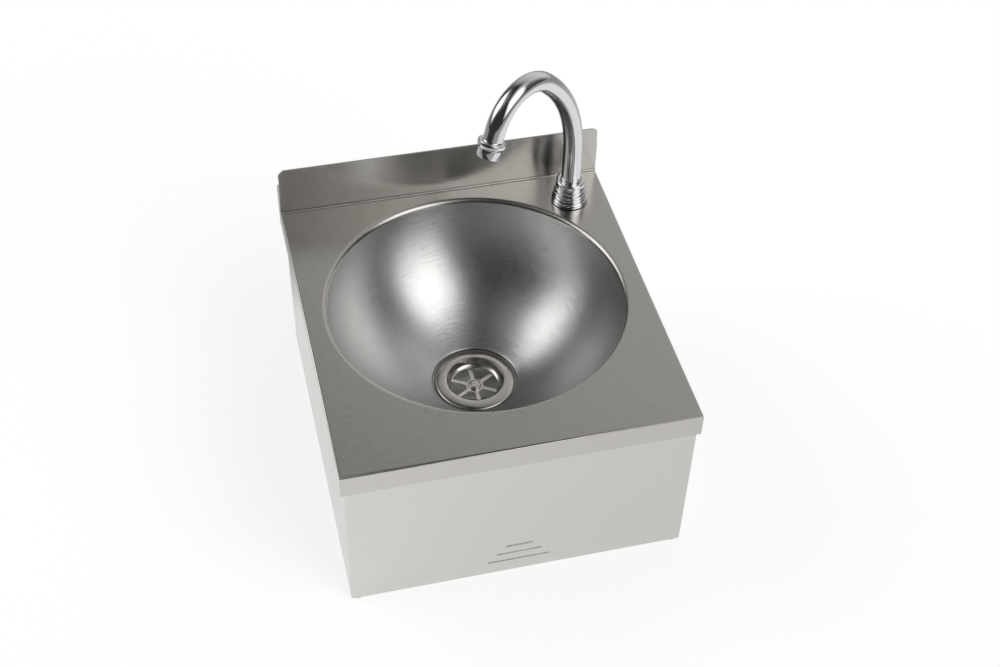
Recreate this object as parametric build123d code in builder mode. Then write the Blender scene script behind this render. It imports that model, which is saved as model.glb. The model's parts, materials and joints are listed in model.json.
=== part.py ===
"""Wall hung hand wash sink with a knee operated skirt, in millimetres.

The origin is the centre of the wall bolt pattern, on the wall plane.
+X is right as seen from the front, +Y goes into the wall and +Z is up.
"""

from build123d import *
from math import asin, cos, hypot, pi, radians, sin, sqrt
import os

os.makedirs("parts", exist_ok=True)

# Clearances and cutting
overrun = 2.0  # how far every cutting tool reaches past the face that it cuts
running_clearance = 0.06  # radial, between a turning or sliding piece and its hole
seat_gap = 0.3  # between pieces of different bodies that rest on each other
thread_clearance = 0.1  # radial, between a plain modelled thread and its nut

# Worktop, one folded sheet
side_margin = 18.0  # worktop beside the bowl
front_margin = 45.0
rear_margin = 31.0
deck_z = 80.0  # height of the worktop above the wall bolts
sheet = 1.0
lip_height = 25.0
fold_radius = 2.0
upstand_height = 56.0
upstand_depth = 18.0
upstand_fold_radius = 3.0
upstand_hem = 12.0  # its top edge, folded back flat
return_drop = 17.0  # from the upstand's top to its side returns
return_slope = 15.0
corner_cut = 5.0

# Bowl
rim_radius = 146.0  # inside the wall, just below the rolled edge
rim_roll = 6.0
rim_collar = 2.0
bowl_depth_share = 0.811644  # of the rim's radius, down to the edge of the waste recess
bowl_wall = 1.0
recess_clearance = 1.5  # round the waste flange
recess_depth = 2.5
waste_hole_radius = 30.5

# Waste
waste_gasket_thickness = 1.0
flange_radius = 42.5
flange_crown = 1.7
flange_edge = 0.6
throat_radius = 29.2
throat_wall = 1.0
strainer_depth = 11.0
strainer_thickness = 1.5
strainer_hub_radius = 9.0
strainer_slot_outer_radius = 25.0
strainer_dish = 3.0
spoke_count = 6
spoke_width = 4.0
spoke_corner = 1.0
waste_screw_radius = 2.9
waste_screw_head_radius = 6.5
waste_screw_head_height = 2.6
waste_screw_length = 24.0
waste_slot_width = 1.4
waste_slot_depth = 1.2
waste_seal_thickness = 2.0
waste_cup_radius = 31.5
waste_cup_wall = 2.5
waste_cup_depth = 24.0
waste_flange_thickness = 3.0
waste_outlet_radius = 23.9
waste_outlet_wall = 3.0
waste_outlet_length = 26.0
waste_cone_height = 8.0
waste_bar_width = 11.0
waste_bar_height = 10.0

# Back panel and side plates
plate = 1.5
side_plate_inset = 13.5  # from the side of the worktop to the plate's outer face
back_panel_height = 170.0
back_flange = 15.0
wall_bolt_spacing_x = 240.0
wall_bolt_spacing_z = 80.0
wall_bolt_hole_radius = 4.25
side_plate_front = 6.0  # from the front edge of the worktop
side_plate_nose = 26.0
side_plate_slope = 49.0
side_plate_edge = 5.0  # below the valve bracket, and above the foot of the back panel
side_plate_rear_run = 58.0

# Knee skirt
skirt_sheet = 1.0
skirt_front_inset = 2.0
skirt_side_inset = 3.0
skirt_rear = 18.0  # rear edge to the wall
skirt_bottom = 188.0  # below the worktop
skirt_top = 20.0
skirt_front_top = 8.0
skirt_ear_top = 6.0
skirt_ear_length = 23.0
skirt_ear_slope = 10.0
skirt_bend = 1.8
skirt_flange = 8.0
skirt_front_return = 12.0
skirt_travel = 2.8  # degrees

# Pressed ribs on the front of the skirt
rib_count = 3
rib_height = 5.0
rib_pitch = 11.0
rib_rise = 0.9
rib_edge = 0.5
rib_length = 66.0
rib_step = 18.0
rib_low_z = 17.0  # lowest rib above the bottom edge

# Skirt pivots
pivot_back = 14.0
pivot_drop = 14.0
pin_radius = 3.0
pin_head_radius = 6.0
pin_head_height = 1.2
pin_length = 19.0
bush_radius = 5.6
bush_spigot_radius = 5.0
pivot_washer_radius = 6.0
pivot_washer_thickness = 1.0
pivot_nut_flats = 10.0
pivot_nut_height = 4.5

# Rest bumpers for the skirt
bumper_radius = 3.5
bumper_height = 5.0
bumper_stem_radius = 1.6
bumper_stem = 2.5
ledge_width = 16.0
ledge_reach = 8.5
bumper_y = -50.0

# Self closing valve, its axis along Y
valve_inset = 58.0  # from the side of the worktop
valve_drop = 110.0
valve_radius = 17.0
valve_neck_radius = 15.0
valve_neck_back = 35.0  # this and the next four from the front of the worktop
valve_shoulder_back = 65.0
valve_port_back = 78.0
valve_seat_back = 95.0
valve_rear_back = 128.0
valve_seat_thickness = 3.0
valve_chamber_radius = 10.0
valve_orifice_radius = 5.0
valve_port_radius = 9.0
valve_port_rise = 18.0
valve_port_bore = 4.5
bonnet_flange_radius = 15.5
bonnet_flange = 7.0
bonnet_spigot = 9.0
bonnet_groove_depth = 1.6
bonnet_groove_width = 2.0
locknut_flats = 36.0
locknut_height = 6.0
valve_edge = 0.8

# Plunger
plunger_rod_radius = 3.0
plunger_head_radius = 9.0
plunger_head_length = 6.7
plunger_dome = 2.2
poppet_radius = 8.0
poppet_thickness = 3.0
poppet_seat_gap = 0.2
poppet_nut_radius = 4.5
poppet_nut_height = 2.5

# Valve spring
spring_wire = 1.1
spring_coil_radius = 6.6
spring_turns = 5

# Striker on the inside of the skirt
striker_radius = 12.0
striker_thickness = 6.0
striker_edge = 1.0

# Valve bracket
bracket_plate = 2.5
bracket_reach = 24.0  # from the valve's axis towards the middle
bracket_above = 25.0
bracket_below = 25.0
bracket_flange = 26.0
bracket_screw_radius = 2.4
bracket_screw_head_radius = 4.2
bracket_screw_head_height = 2.6
bracket_screw_spacing = 24.0
bracket_screw_back = 16.0
bracket_screw_tail = 3.0
bracket_nut_flats = 8.0
bracket_nut_height = 3.5

# Inlet manifold and its two connectors
manifold_radius = 13.0
manifold_bore = 8.5
manifold_length = 72.0
manifold_spigot = 10.0
manifold_spigot_bore = 5.0
inlet_first = 16.0
inlet_spacing = 36.0
branch_radius = 12.0
branch_length = 24.0
branch_bore = 7.0
connector_length = 24.0
connector_flats = 24.0
inlet_thread_radius = 10.478  # half of the 20.955 mm of a half inch pipe thread
inlet_thread_length = 14.0
inlet_bore = 6.5
inlet_washer_thickness = 1.5
filter_radius = 6.4
filter_thickness = 1.0
filter_hole_radius = 0.7
filter_hole_count = 8
plug_flats = 22.0
plug_head = 7.0
plug_spigot = 8.0

# Outlet elbow and pipe
elbow_radius = 8.0
elbow_bore = 3.5
elbow_rise = 12.0
elbow_run = 18.0
elbow_bend = 9.0
elbow_spigot = 6.0
elbow_socket_depth = 6.0
pipe_radius = 5.0
pipe_wall = 0.8
pipe_nut_flats = 19.0
pipe_nut_length = 13.0
pipe_nut_overlap = 7.0
pipe_bend_radius = 26.0
pipe_straight = 30.0
pipe_bow_inset = 36.0  # from the side of the worktop
pipe_bow_front = 22.0  # in front of the middle of the bowl
pipe_bow_rear = 66.5  # in front of the tap
pipe_bow_drop = 96.0
pipe_low_drop = 116.0

# Tap
tap_inset = 40.0  # from the side of the worktop
tap_out = 58.5  # from the wall
tap_hole_radius = 11.0
tap_gasket_thickness = 1.0
tap_foot_radius = 19.0
tap_foot_height = 4.0
tap_body_radius = 17.3
tap_body_top = 14.0
tap_groove = 1.6
tap_ring_radius = 16.4
tap_base_height = 18.5
tap_edge = 1.0
tap_shank_radius = 10.478
tap_shank_bore = 6.5
tap_shank_length = 46.0
tap_washer_radius = 17.0
tap_washer_thickness = 1.5
backnut_flats = 27.0
backnut_height = 7.0
tail_nut_flats = 24.0
tail_nut_cup = 9.0
tail_nut_floor = 3.0
tail_washer_thickness = 1.5

# Spout
spout_radius = 10.0
spout_wall = 1.2
spout_foot_lift = 6.5  # foot of the tube above the worktop
gland_radius = 15.4
gland_height = 9.0
gland_edge = 1.8
gland_mouth = 11.4
clip_thickness = 1.6
clip_radius = 12.4
clip_split = 4.0
oring_wire = 0.77
oring_depth = 0.75
oring_groove = 1.3
oring_slack = 0.02
oring_lift = 1.8
oring_spacing = 3.4
clip_groove = 0.6
spout_leg = 64.0  # height at which the tube starts to bend
spout_first_radius = 153.0
spout_first_bend = 49.0  # degrees
spout_second_radius = 44.0
spout_second_bend = 108.5  # degrees
spout_end_run = 15.0
spout_heading = 215.0  # degrees from +X towards +Y, seen from above

# Outlet of the spout
collar_radius = 13.9
collar_length = 7.0
collar_bead = 2.2
nozzle_radius = 11.2
nozzle_length = 10.5
nozzle_bore = 9.4
nozzle_flats = 20.6
nozzle_round = 3.0  # round part above the flats
nozzle_edge = 0.8
aerator_radius = 9.2
aerator_length = 7.0
aerator_hole_radius = 0.8
aerator_ring_radius = 3.2
aerator_ring_holes = 6  # in the inner ring, twice as many in the outer one
aerator_washer_thickness = 1.2

# Places that follow from the sizes above
rim_outer = rim_radius + rim_roll
recess_radius = flange_radius + recess_clearance
bowl_depth = bowl_depth_share * rim_radius
half_width = rim_outer + side_margin
deck_width = 2 * half_width
bowl_y = -rear_margin - rim_outer
deck_front = bowl_y - rim_outer - front_margin
under_deck = deck_z - sheet
upstand_face = -upstand_depth
upstand_top = deck_z + upstand_height
collar_foot = deck_z - rim_roll - rim_collar
seat_z = deck_z - bowl_depth - recess_depth
bowl_underside = seat_z - bowl_wall
skirt_half = half_width - skirt_side_inset
skirt_inner = skirt_half - skirt_sheet
skirt_face = deck_front + skirt_front_inset
skirt_back_face = skirt_face + skirt_sheet
skirt_foot = deck_z - skirt_bottom
pivot_y = deck_front + pivot_back
pivot_z = deck_z - pivot_drop
valve_x = half_width - valve_inset
valve_z = deck_z - valve_drop
valve_port_y = deck_front + valve_port_back
tap_x = half_width - tap_inset
tap_y = -tap_out
side_plate_x = half_width - side_plate_inset
side_plate_inner = side_plate_x - plate
striker_back = skirt_back_face + striker_thickness
plunger_tip = striker_back + seat_gap
plunger_head_back = plunger_tip + plunger_head_length
plunger_travel = (pivot_z - valve_z) * sin(radians(skirt_travel))


def upright(x, y):
    """Plane whose first axis is +X and second axis +Z, through the point x, y."""
    return Plane(origin=(x, y, 0), x_dir=(1, 0, 0), z_dir=(0, -1, 0))


def upright_axis(x, y):
    return Axis((x, y, 0), (0, 0, 1))


def level(z, x=0.0, y=0.0):
    """Level plane at height z with its origin over x, y."""
    return Plane(origin=(x, y, z))


def facing_x(x, y=0.0, z=0.0):
    """Plane square to +X whose first axis is +Y and second axis +Z."""
    return Plane(origin=(x, y, z), x_dir=(0, 1, 0), z_dir=(1, 0, 0))


def facing_y(y, x=0.0, z=0.0):
    """Plane square to the Y axis whose first axis is +X and second axis +Z."""
    return Plane(origin=(x, y, z), x_dir=(1, 0, 0), z_dir=(0, -1, 0))


valve_plane = facing_x(valve_x, 0, valve_z)
valve_axis = Axis((valve_x, 0, valve_z), (0, 1, 0))


def across_corners(flats):
    """Radius over the corners of a hexagon of this width across its flats."""
    return flats / 2 / cos(pi / 6)


def block(x_low, x_high, y_low, y_high, z_low, z_high, mode=Mode.ADD):
    """Box between two corners, added to the part that is being built."""
    with Locations(((x_low + x_high) / 2, (y_low + y_high) / 2, (z_low + z_high) / 2)):
        return Box(x_high - x_low, y_high - y_low, z_high - z_low, mode=mode)


def rectangle_points(x_low, x_high, y_low, y_high):
    return [(x_low, y_low), (x_high, y_low), (x_high, y_high), (x_low, y_high)]


# Worktop: top, lips, upstand with its hem and side returns, folded from one sheet
lip_foot = deck_z - lip_height
return_top = upstand_top - return_drop
hem_half = half_width - sheet - corner_cut
with BuildPart() as worktop:
    block(-half_width, half_width, deck_front, upstand_face, lip_foot, deck_z)
    front_folds = worktop.faces().sort_by(Axis.Z)[-1].edges() - worktop.edges().group_by(Axis.Y)[-1]
    fillet(front_folds, radius=fold_radius)
    block(-half_width, half_width, upstand_face, 0, lip_foot, return_top)
    with BuildSketch(facing_y(upstand_face + sheet)):
        Polygon(
            *rectangle_points(-half_width + sheet, half_width - sheet, deck_z, upstand_top),
            align=None,
        )
        top_corners = vertices().group_by(Axis.Z)[-1].sort_by(Axis.X)
        chamfer(top_corners[0], length=corner_cut)
        fillet(top_corners[-1], radius=corner_cut)
    extrude(amount=sheet)
    block(
        -hem_half, hem_half,
        upstand_face, upstand_face + 2 * sheet,
        upstand_top - upstand_hem, upstand_top,
    )
    # inside of the fold, seen as a line between the top and the upstand
    with BuildSketch(facing_x(-half_width + fold_radius)):
        with BuildLine():
            Polyline(
                (upstand_face, deck_z + upstand_fold_radius),
                (upstand_face, deck_z),
                (upstand_face - upstand_fold_radius, deck_z),
            )
            CenterArc(
                (upstand_face - upstand_fold_radius, deck_z + upstand_fold_radius),
                upstand_fold_radius, 270, 90,
            )
        make_face()
    extrude(amount=deck_width - 2 * fold_radius)
    # everything inside the sheet, open below and at the back
    block(
        -half_width + sheet, half_width - sheet,
        deck_front + sheet, overrun,
        lip_foot - overrun, under_deck,
        mode=Mode.SUBTRACT,
    )
    block(
        -half_width + sheet, half_width - sheet,
        upstand_face + sheet, overrun,
        under_deck - overrun, return_top + overrun,
        mode=Mode.SUBTRACT,
    )
    # side returns slope down towards the wall
    with BuildSketch(facing_x(-half_width)):
        Polygon(
            (upstand_face + sheet, return_top),
            (0, return_top - return_slope),
            (0, return_top),
            align=None,
        )
    extrude(amount=deck_width, mode=Mode.SUBTRACT)
    with BuildSketch(level(under_deck - overrun, 0, bowl_y)):
        Circle(rim_outer)
    extrude(amount=sheet + 2 * overrun, mode=Mode.SUBTRACT)
    with BuildSketch(upright(0, bowl_y)):
        with BuildLine():
            CenterArc((rim_outer, deck_z - rim_roll), rim_roll, 90, 90)
            Polyline(
                (rim_radius, deck_z - rim_roll),
                (rim_radius, collar_foot),
                (rim_radius + sheet, collar_foot),
                (rim_radius + sheet, deck_z - rim_roll),
            )
            CenterArc((rim_outer, deck_z - rim_roll), rim_roll - sheet, 90, 90)
            Line((rim_outer, under_deck), (rim_outer, deck_z))
        make_face()
    revolve(axis=upright_axis(0, bowl_y))
    with BuildSketch(level(under_deck - overrun, tap_x, tap_y)):
        Circle(tap_hole_radius)
    extrude(amount=sheet + 2 * overrun, mode=Mode.SUBTRACT)
worktop.part.label = "worktop"
export_step(worktop.part, "parts/worktop.step")

# Bowl: a spherical dish with a flat recess for the waste
bowl_rise = (
    (rim_radius**2 + (rim_roll + rim_collar) ** 2 - recess_radius**2 - bowl_depth**2)
    / (2 * (bowl_depth - rim_roll - rim_collar))
)
bowl_radius = hypot(rim_radius, bowl_rise + rim_roll + rim_collar)
bowl_centre_z = deck_z + bowl_rise


def bowl_height(radius, ball):
    """Height of the lower half of a ball of the bowl's centre at this radius."""
    return bowl_centre_z - sqrt(ball**2 - radius**2)


outer_ball = bowl_radius + bowl_wall
outer_rim_radius = sqrt(outer_ball**2 - (bowl_centre_z - collar_foot) ** 2)
outer_recess_radius = recess_radius + bowl_wall
mid_radius = (rim_radius + recess_radius) / 2

with BuildPart() as bowl:
    with BuildSketch(upright(0, bowl_y)):
        with BuildLine():
            ThreePointArc(
                (rim_radius, collar_foot),
                (mid_radius, bowl_height(mid_radius, bowl_radius)),
                (recess_radius, bowl_height(recess_radius, bowl_radius)),
            )
            Polyline(
                (recess_radius, bowl_height(recess_radius, bowl_radius)),
                (recess_radius, seat_z),
                (waste_hole_radius, seat_z),
                (waste_hole_radius, bowl_underside),
                (outer_recess_radius, bowl_underside),
                (outer_recess_radius, bowl_height(outer_recess_radius, outer_ball)),
            )
            ThreePointArc(
                (outer_recess_radius, bowl_height(outer_recess_radius, outer_ball)),
                (mid_radius, bowl_height(mid_radius, outer_ball)),
                (outer_rim_radius, collar_foot),
            )
            Line((outer_rim_radius, collar_foot), (rim_radius, collar_foot))
        make_face()
    revolve(axis=upright_axis(0, bowl_y))
bowl.part.label = "bowl"
export_step(bowl.part, "parts/bowl.step")

# Waste flange with its strainer dish
flange_low = seat_z + waste_gasket_thickness
flange_high = flange_low + flange_edge + flange_crown
strainer_top = flange_high - strainer_depth
strainer_rim_z = strainer_top + strainer_dish
throat_outer = throat_radius + throat_wall
crown_radius = (flange_radius + throat_radius) / 2
spoke_angle = 360 / spoke_count
spoke_start_share = 0.5  # of the angle between two spokes

with BuildPart() as waste_flange:
    with BuildSketch(upright(0, bowl_y)):
        with BuildLine():
            Polyline(
                (throat_radius, flange_high - flange_edge),
                (throat_radius, strainer_rim_z),
                (strainer_slot_outer_radius, strainer_top),
                (0, strainer_top),
                (0, strainer_top - strainer_thickness),
                (strainer_slot_outer_radius, strainer_top - strainer_thickness),
                (throat_outer, strainer_rim_z - strainer_thickness),
                (throat_outer, flange_low),
                (flange_radius, flange_low),
                (flange_radius, flange_low + flange_edge),
            )
            ThreePointArc(
                (flange_radius, flange_low + flange_edge),
                (crown_radius, flange_high),
                (throat_radius, flange_high - flange_edge),
            )
        make_face()
    revolve(axis=upright_axis(0, bowl_y))
    with BuildSketch(level(strainer_top - strainer_thickness - overrun, 0, bowl_y)):
        Circle(strainer_slot_outer_radius)
        Circle(strainer_hub_radius, mode=Mode.SUBTRACT)
        with PolarLocations(0, spoke_count, start_angle=spoke_start_share * spoke_angle):
            Rectangle(
                throat_outer, spoke_width, align=(Align.MIN, Align.CENTER), mode=Mode.SUBTRACT
            )
        fillet(vertices(), radius=spoke_corner)
    extrude(amount=strainer_thickness + 2 * overrun, mode=Mode.SUBTRACT)
    with Locations((0, bowl_y, strainer_top)):
        Hole(waste_screw_radius + thread_clearance)
waste_flange.part.label = "waste_flange"
export_step(waste_flange.part, "parts/waste_flange.step")

with BuildPart() as waste_gasket:
    with BuildSketch(level(seat_z, 0, bowl_y)):
        Circle(flange_radius - flange_edge)
        Circle(waste_hole_radius, mode=Mode.SUBTRACT)
    extrude(amount=waste_gasket_thickness)
waste_gasket.part.label = "waste_gasket"
export_step(waste_gasket.part, "parts/waste_gasket.step")

screw_head_top = strainer_top + waste_screw_head_height
with BuildPart() as waste_screw:
    with BuildSketch(level(strainer_top - waste_screw_length, 0, bowl_y)):
        Circle(waste_screw_radius)
    extrude(amount=waste_screw_length)
    with BuildSketch(level(strainer_top, 0, bowl_y)):
        Circle(waste_screw_head_radius)
    extrude(amount=waste_screw_head_height)
    head_rim = waste_screw.faces().sort_by(Axis.Z)[-1].edges()
    fillet(head_rim, radius=waste_screw_head_height / 2)
    block(
        -waste_screw_head_radius, waste_screw_head_radius,
        bowl_y - waste_slot_width / 2, bowl_y + waste_slot_width / 2,
        screw_head_top - waste_slot_depth, screw_head_top + overrun,
        mode=Mode.SUBTRACT,
    )
waste_screw.part.label = "waste_screw"
export_step(waste_screw.part, "parts/waste_screw.step")

waste_seat = bowl_underside - waste_seal_thickness
with BuildPart() as waste_seal:
    with BuildSketch(level(waste_seat, 0, bowl_y)):
        Circle(flange_radius - flange_edge)
        Circle(waste_cup_radius, mode=Mode.SUBTRACT)
    extrude(amount=waste_seal_thickness)
waste_seal.part.label = "waste_seal"
export_step(waste_seal.part, "parts/waste_seal.step")

cup_floor = waste_seat - waste_cup_depth
outlet_top = cup_floor - waste_cone_height
outlet_foot = outlet_top - waste_outlet_length
waste_cup_outer = waste_cup_radius + waste_cup_wall
waste_outlet_inner = waste_outlet_radius - waste_outlet_wall
with BuildPart() as waste_body:
    with BuildSketch(upright(0, bowl_y)):
        Polygon(
            (waste_cup_radius, waste_seat),
            (waste_cup_radius, cup_floor),
            (waste_outlet_inner, outlet_top),
            (waste_outlet_inner, outlet_foot),
            (waste_outlet_radius, outlet_foot),
            (waste_outlet_radius, outlet_top),
            (waste_cup_outer, cup_floor),
            (waste_cup_outer, waste_seat - waste_flange_thickness),
            (flange_radius, waste_seat - waste_flange_thickness),
            (flange_radius, waste_seat),
            align=None,
        )
    revolve(axis=upright_axis(0, bowl_y))
    bar_top = strainer_top - waste_screw_length + waste_bar_height
    block(
        -waste_cup_radius - waste_cup_wall / 2, waste_cup_radius + waste_cup_wall / 2,
        bowl_y - waste_bar_width / 2, bowl_y + waste_bar_width / 2,
        bar_top - waste_bar_height, bar_top,
    )
    with Locations((0, bowl_y, bar_top)):
        Hole(waste_screw_radius + thread_clearance, depth=waste_bar_height)
waste_body.part.label = "waste_body"
export_step(waste_body.part, "parts/waste_body.step")

# Back panel that bolts to the wall
back_foot = deck_z - back_panel_height
with BuildPart() as back_panel:
    block(-side_plate_x, side_plate_x, -plate, 0, back_foot, under_deck)
    block(-side_plate_x, side_plate_x, -back_flange, 0, back_foot, back_foot + plate)
    with Locations(facing_y(0)):
        with GridLocations(wall_bolt_spacing_x, wall_bolt_spacing_z, 2, 2):
            Hole(wall_bolt_hole_radius)
back_panel.part.label = "back_panel"
export_step(back_panel.part, "parts/back_panel.step")

# Side plates with their ledges for the bumpers
nose_y = deck_front + side_plate_front
nose_z = deck_z - side_plate_nose
slope_y = nose_y + side_plate_slope
side_foot = valve_z - bracket_below - side_plate_edge
side_rear_foot = back_foot + side_plate_edge
skirt_flange_low = deck_z - skirt_top - skirt_sheet
bumper_top = skirt_flange_low - seat_gap
ledge_top = bumper_top - bumper_height
bumper_x = (side_plate_x + skirt_inner) / 2
bracket_face_y = deck_front + valve_shoulder_back
bracket_screw_y = bracket_face_y + bracket_screw_back
bracket_screw_heights = [
    valve_z - bracket_screw_spacing / 2,
    valve_z + bracket_screw_spacing / 2,
]


def side_plate(side):
    """Flat plate under one side of the worktop, side is -1 for left, 1 for right."""
    outer = side * side_plate_x
    inner = side * side_plate_inner
    with BuildPart() as made:
        with BuildSketch(facing_x(min(outer, inner))):
            Polygon(
                (nose_y, under_deck),
                (nose_y, nose_z),
                (slope_y, side_foot),
                (-side_plate_rear_run, side_foot),
                (-back_flange, side_rear_foot),
                (-plate, side_rear_foot),
                (-plate, under_deck),
                align=None,
            )
        extrude(amount=plate)
        reach = side * (side_plate_x + ledge_reach)
        block(
            min(inner, reach), max(inner, reach),
            bumper_y - ledge_width / 2, bumper_y + ledge_width / 2,
            ledge_top - plate, ledge_top,
        )
        with Locations((side * bumper_x, bumper_y, ledge_top)):
            Hole(bumper_stem_radius, depth=plate)
        with BuildSketch(facing_x(min(outer, inner) - overrun, pivot_y, pivot_z)):
            Circle(pin_radius + thread_clearance)
        extrude(amount=plate + 2 * overrun, mode=Mode.SUBTRACT)
        if side > 0:
            with BuildSketch(facing_x(min(outer, inner) - overrun)):
                with Locations(*[(bracket_screw_y, z) for z in bracket_screw_heights]):
                    Circle(bracket_screw_radius + thread_clearance)
            extrude(amount=plate + 2 * overrun, mode=Mode.SUBTRACT)
    return made.part


for side, name in ((-1, "left"), (1, "right")):
    side_plate_part = side_plate(side)
    side_plate_part.label = f"side_plate_{name}"
    export_step(side_plate_part, f"parts/side_plate_{name}.step")

# Knee skirt: front and both sides in one folded sheet, with pressed ribs
skirt_rear_y = -skirt_rear
skirt_top_z = deck_z - skirt_top
ear_back = skirt_face + skirt_ear_length
rib_z = [skirt_foot + rib_low_z + index * rib_pitch for index in range(rib_count)]
with BuildPart() as knee_skirt:
    block(-skirt_half, skirt_half, skirt_face, skirt_rear_y, skirt_foot, deck_z - skirt_ear_top)
    fillet(
        knee_skirt.edges().filter_by(Axis.Z).filter_by_position(
            Axis.Y, skirt_face - overrun, skirt_face + overrun
        ),
        radius=skirt_bend,
    )
    with BuildSketch(level(skirt_foot - overrun)):
        Polygon(
            *rectangle_points(-skirt_inner, skirt_inner, skirt_back_face, skirt_rear_y + overrun),
            align=None,
        )
        fillet(vertices().group_by(Axis.Y)[0], radius=skirt_bend - skirt_sheet)
    extrude(amount=skirt_bottom + 2 * overrun, mode=Mode.SUBTRACT)
    # the sides step down behind the pivot ears
    with BuildSketch(facing_x(-skirt_half - overrun)):
        Polygon(
            (ear_back, deck_z + overrun),
            (ear_back, deck_z - skirt_ear_top),
            (ear_back + skirt_ear_slope, skirt_top_z),
            (skirt_rear_y + overrun, skirt_top_z),
            (skirt_rear_y + overrun, deck_z + overrun),
            align=None,
        )
    extrude(amount=2 * (skirt_half + overrun), mode=Mode.SUBTRACT)
    block(
        -skirt_inner + skirt_sheet, skirt_inner - skirt_sheet,
        skirt_face - overrun, skirt_back_face + overrun,
        deck_z - skirt_front_top, deck_z,
        mode=Mode.SUBTRACT,
    )
    # top flanges that rest on the bumpers, and the bottom return
    for side in (-1, 1):
        edges_x = sorted((side * skirt_inner, side * (skirt_half - skirt_flange - skirt_sheet)))
        block(
            edges_x[0], edges_x[1],
            ear_back + 2 * skirt_ear_slope, skirt_rear_y,
            skirt_flange_low, skirt_top_z,
        )
        block(edges_x[0], edges_x[1], skirt_back_face, skirt_rear_y, skirt_foot, skirt_foot + skirt_sheet)
    block(
        -skirt_inner, skirt_inner,
        skirt_back_face, skirt_back_face + skirt_front_return,
        skirt_foot, skirt_foot + skirt_sheet,
    )
    with BuildSketch(facing_x(-skirt_half - overrun, pivot_y, pivot_z)):
        Circle(bush_spigot_radius)
    extrude(amount=2 * (skirt_half + overrun), mode=Mode.SUBTRACT)
    with BuildSketch(facing_y(skirt_face)):
        for index, height in enumerate(rib_z):
            with Locations((0, height)):
                SlotOverall(rib_length - index * rib_step, rib_height)
    extrude(amount=rib_rise)
    rib_tops = knee_skirt.faces().group_by(Axis.Y)[0].edges()
    fillet(rib_tops, radius=rib_edge)
knee_skirt.part.label = "knee_skirt"
export_step(knee_skirt.part, "parts/knee_skirt.step")

# Pivots of the skirt, the same on both sides
pin_head_x = skirt_half + seat_gap
bush_foot_x = side_plate_x + seat_gap
pivot_nut_x = side_plate_inner - pivot_washer_thickness


def turned_across(side, points):
    """Turn an outline of (distance from the middle, radius) about the pivot line."""
    with BuildPart() as made:
        with BuildSketch(Plane(origin=(0, pivot_y, pivot_z), x_dir=(side, 0, 0), z_dir=(0, -side, 0))):
            Polygon(*points, align=None)
        revolve(axis=Axis((0, pivot_y, pivot_z), (1, 0, 0)))
    return made.part


for side, name in ((-1, "left"), (1, "right")):
    pivot_pin = turned_across(side, [
        (pin_head_x + pin_head_height, 0),
        (pin_head_x + pin_head_height, pin_head_radius),
        (pin_head_x, pin_head_radius),
        (pin_head_x, pin_radius),
        (pin_head_x - pin_length, pin_radius),
        (pin_head_x - pin_length, 0),
    ])
    pivot_pin.label = f"pivot_pin_{name}"
    export_step(pivot_pin, f"parts/pivot_pin_{name}.step")
    pivot_bush = turned_across(side, [
        (skirt_half, pin_radius + running_clearance),
        (skirt_half, bush_spigot_radius),
        (skirt_inner, bush_spigot_radius),
        (skirt_inner, bush_radius),
        (bush_foot_x, bush_radius),
        (bush_foot_x, pin_radius + running_clearance),
    ])
    pivot_bush.label = f"pivot_bush_{name}"
    export_step(pivot_bush, f"parts/pivot_bush_{name}.step")

with BuildPart() as pivot_washers:
    for side in (-1, 1):
        with BuildSketch(facing_x(side * side_plate_inner, pivot_y, pivot_z)):
            Circle(pivot_washer_radius)
            Circle(pin_radius + thread_clearance, mode=Mode.SUBTRACT)
        extrude(amount=-side * pivot_washer_thickness)
pivot_washers.part.label = "pivot_washers"
export_step(pivot_washers.part, "parts/pivot_washers.step")

with BuildPart() as pivot_nuts:
    for side in (-1, 1):
        with BuildSketch(facing_x(side * pivot_nut_x, pivot_y, pivot_z)):
            RegularPolygon(across_corners(pivot_nut_flats), 6)
            Circle(pin_radius, mode=Mode.SUBTRACT)
        extrude(amount=-side * pivot_nut_height)
pivot_nuts.part.label = "pivot_nuts"
export_step(pivot_nuts.part, "parts/pivot_nuts.step")

for side, name in ((-1, "left"), (1, "right")):
    with BuildPart() as bumper:
        with BuildSketch(upright(side * bumper_x, bumper_y)):
            Polygon(
                (0, bumper_top),
                (bumper_radius, bumper_top),
                (bumper_radius, ledge_top),
                (bumper_stem_radius, ledge_top),
                (bumper_stem_radius, ledge_top - plate - bumper_stem),
                (0, ledge_top - plate - bumper_stem),
                align=None,
            )
        revolve(axis=upright_axis(side * bumper_x, bumper_y))
    bumper.part.label = f"bumper_{name}"
    export_step(bumper.part, f"parts/bumper_{name}.step")

# Striker pad, bonded to the inside of the skirt
with BuildPart() as striker_pad:
    with BuildSketch(facing_y(striker_back, valve_x, valve_z)):
        Circle(striker_radius)
    extrude(amount=striker_thickness)
    fillet(striker_pad.faces().sort_by(Axis.Y)[-1].edges(), radius=striker_edge)
striker_pad.part.label = "striker_pad"
export_step(striker_pad.part, "parts/striker_pad.step")

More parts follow.
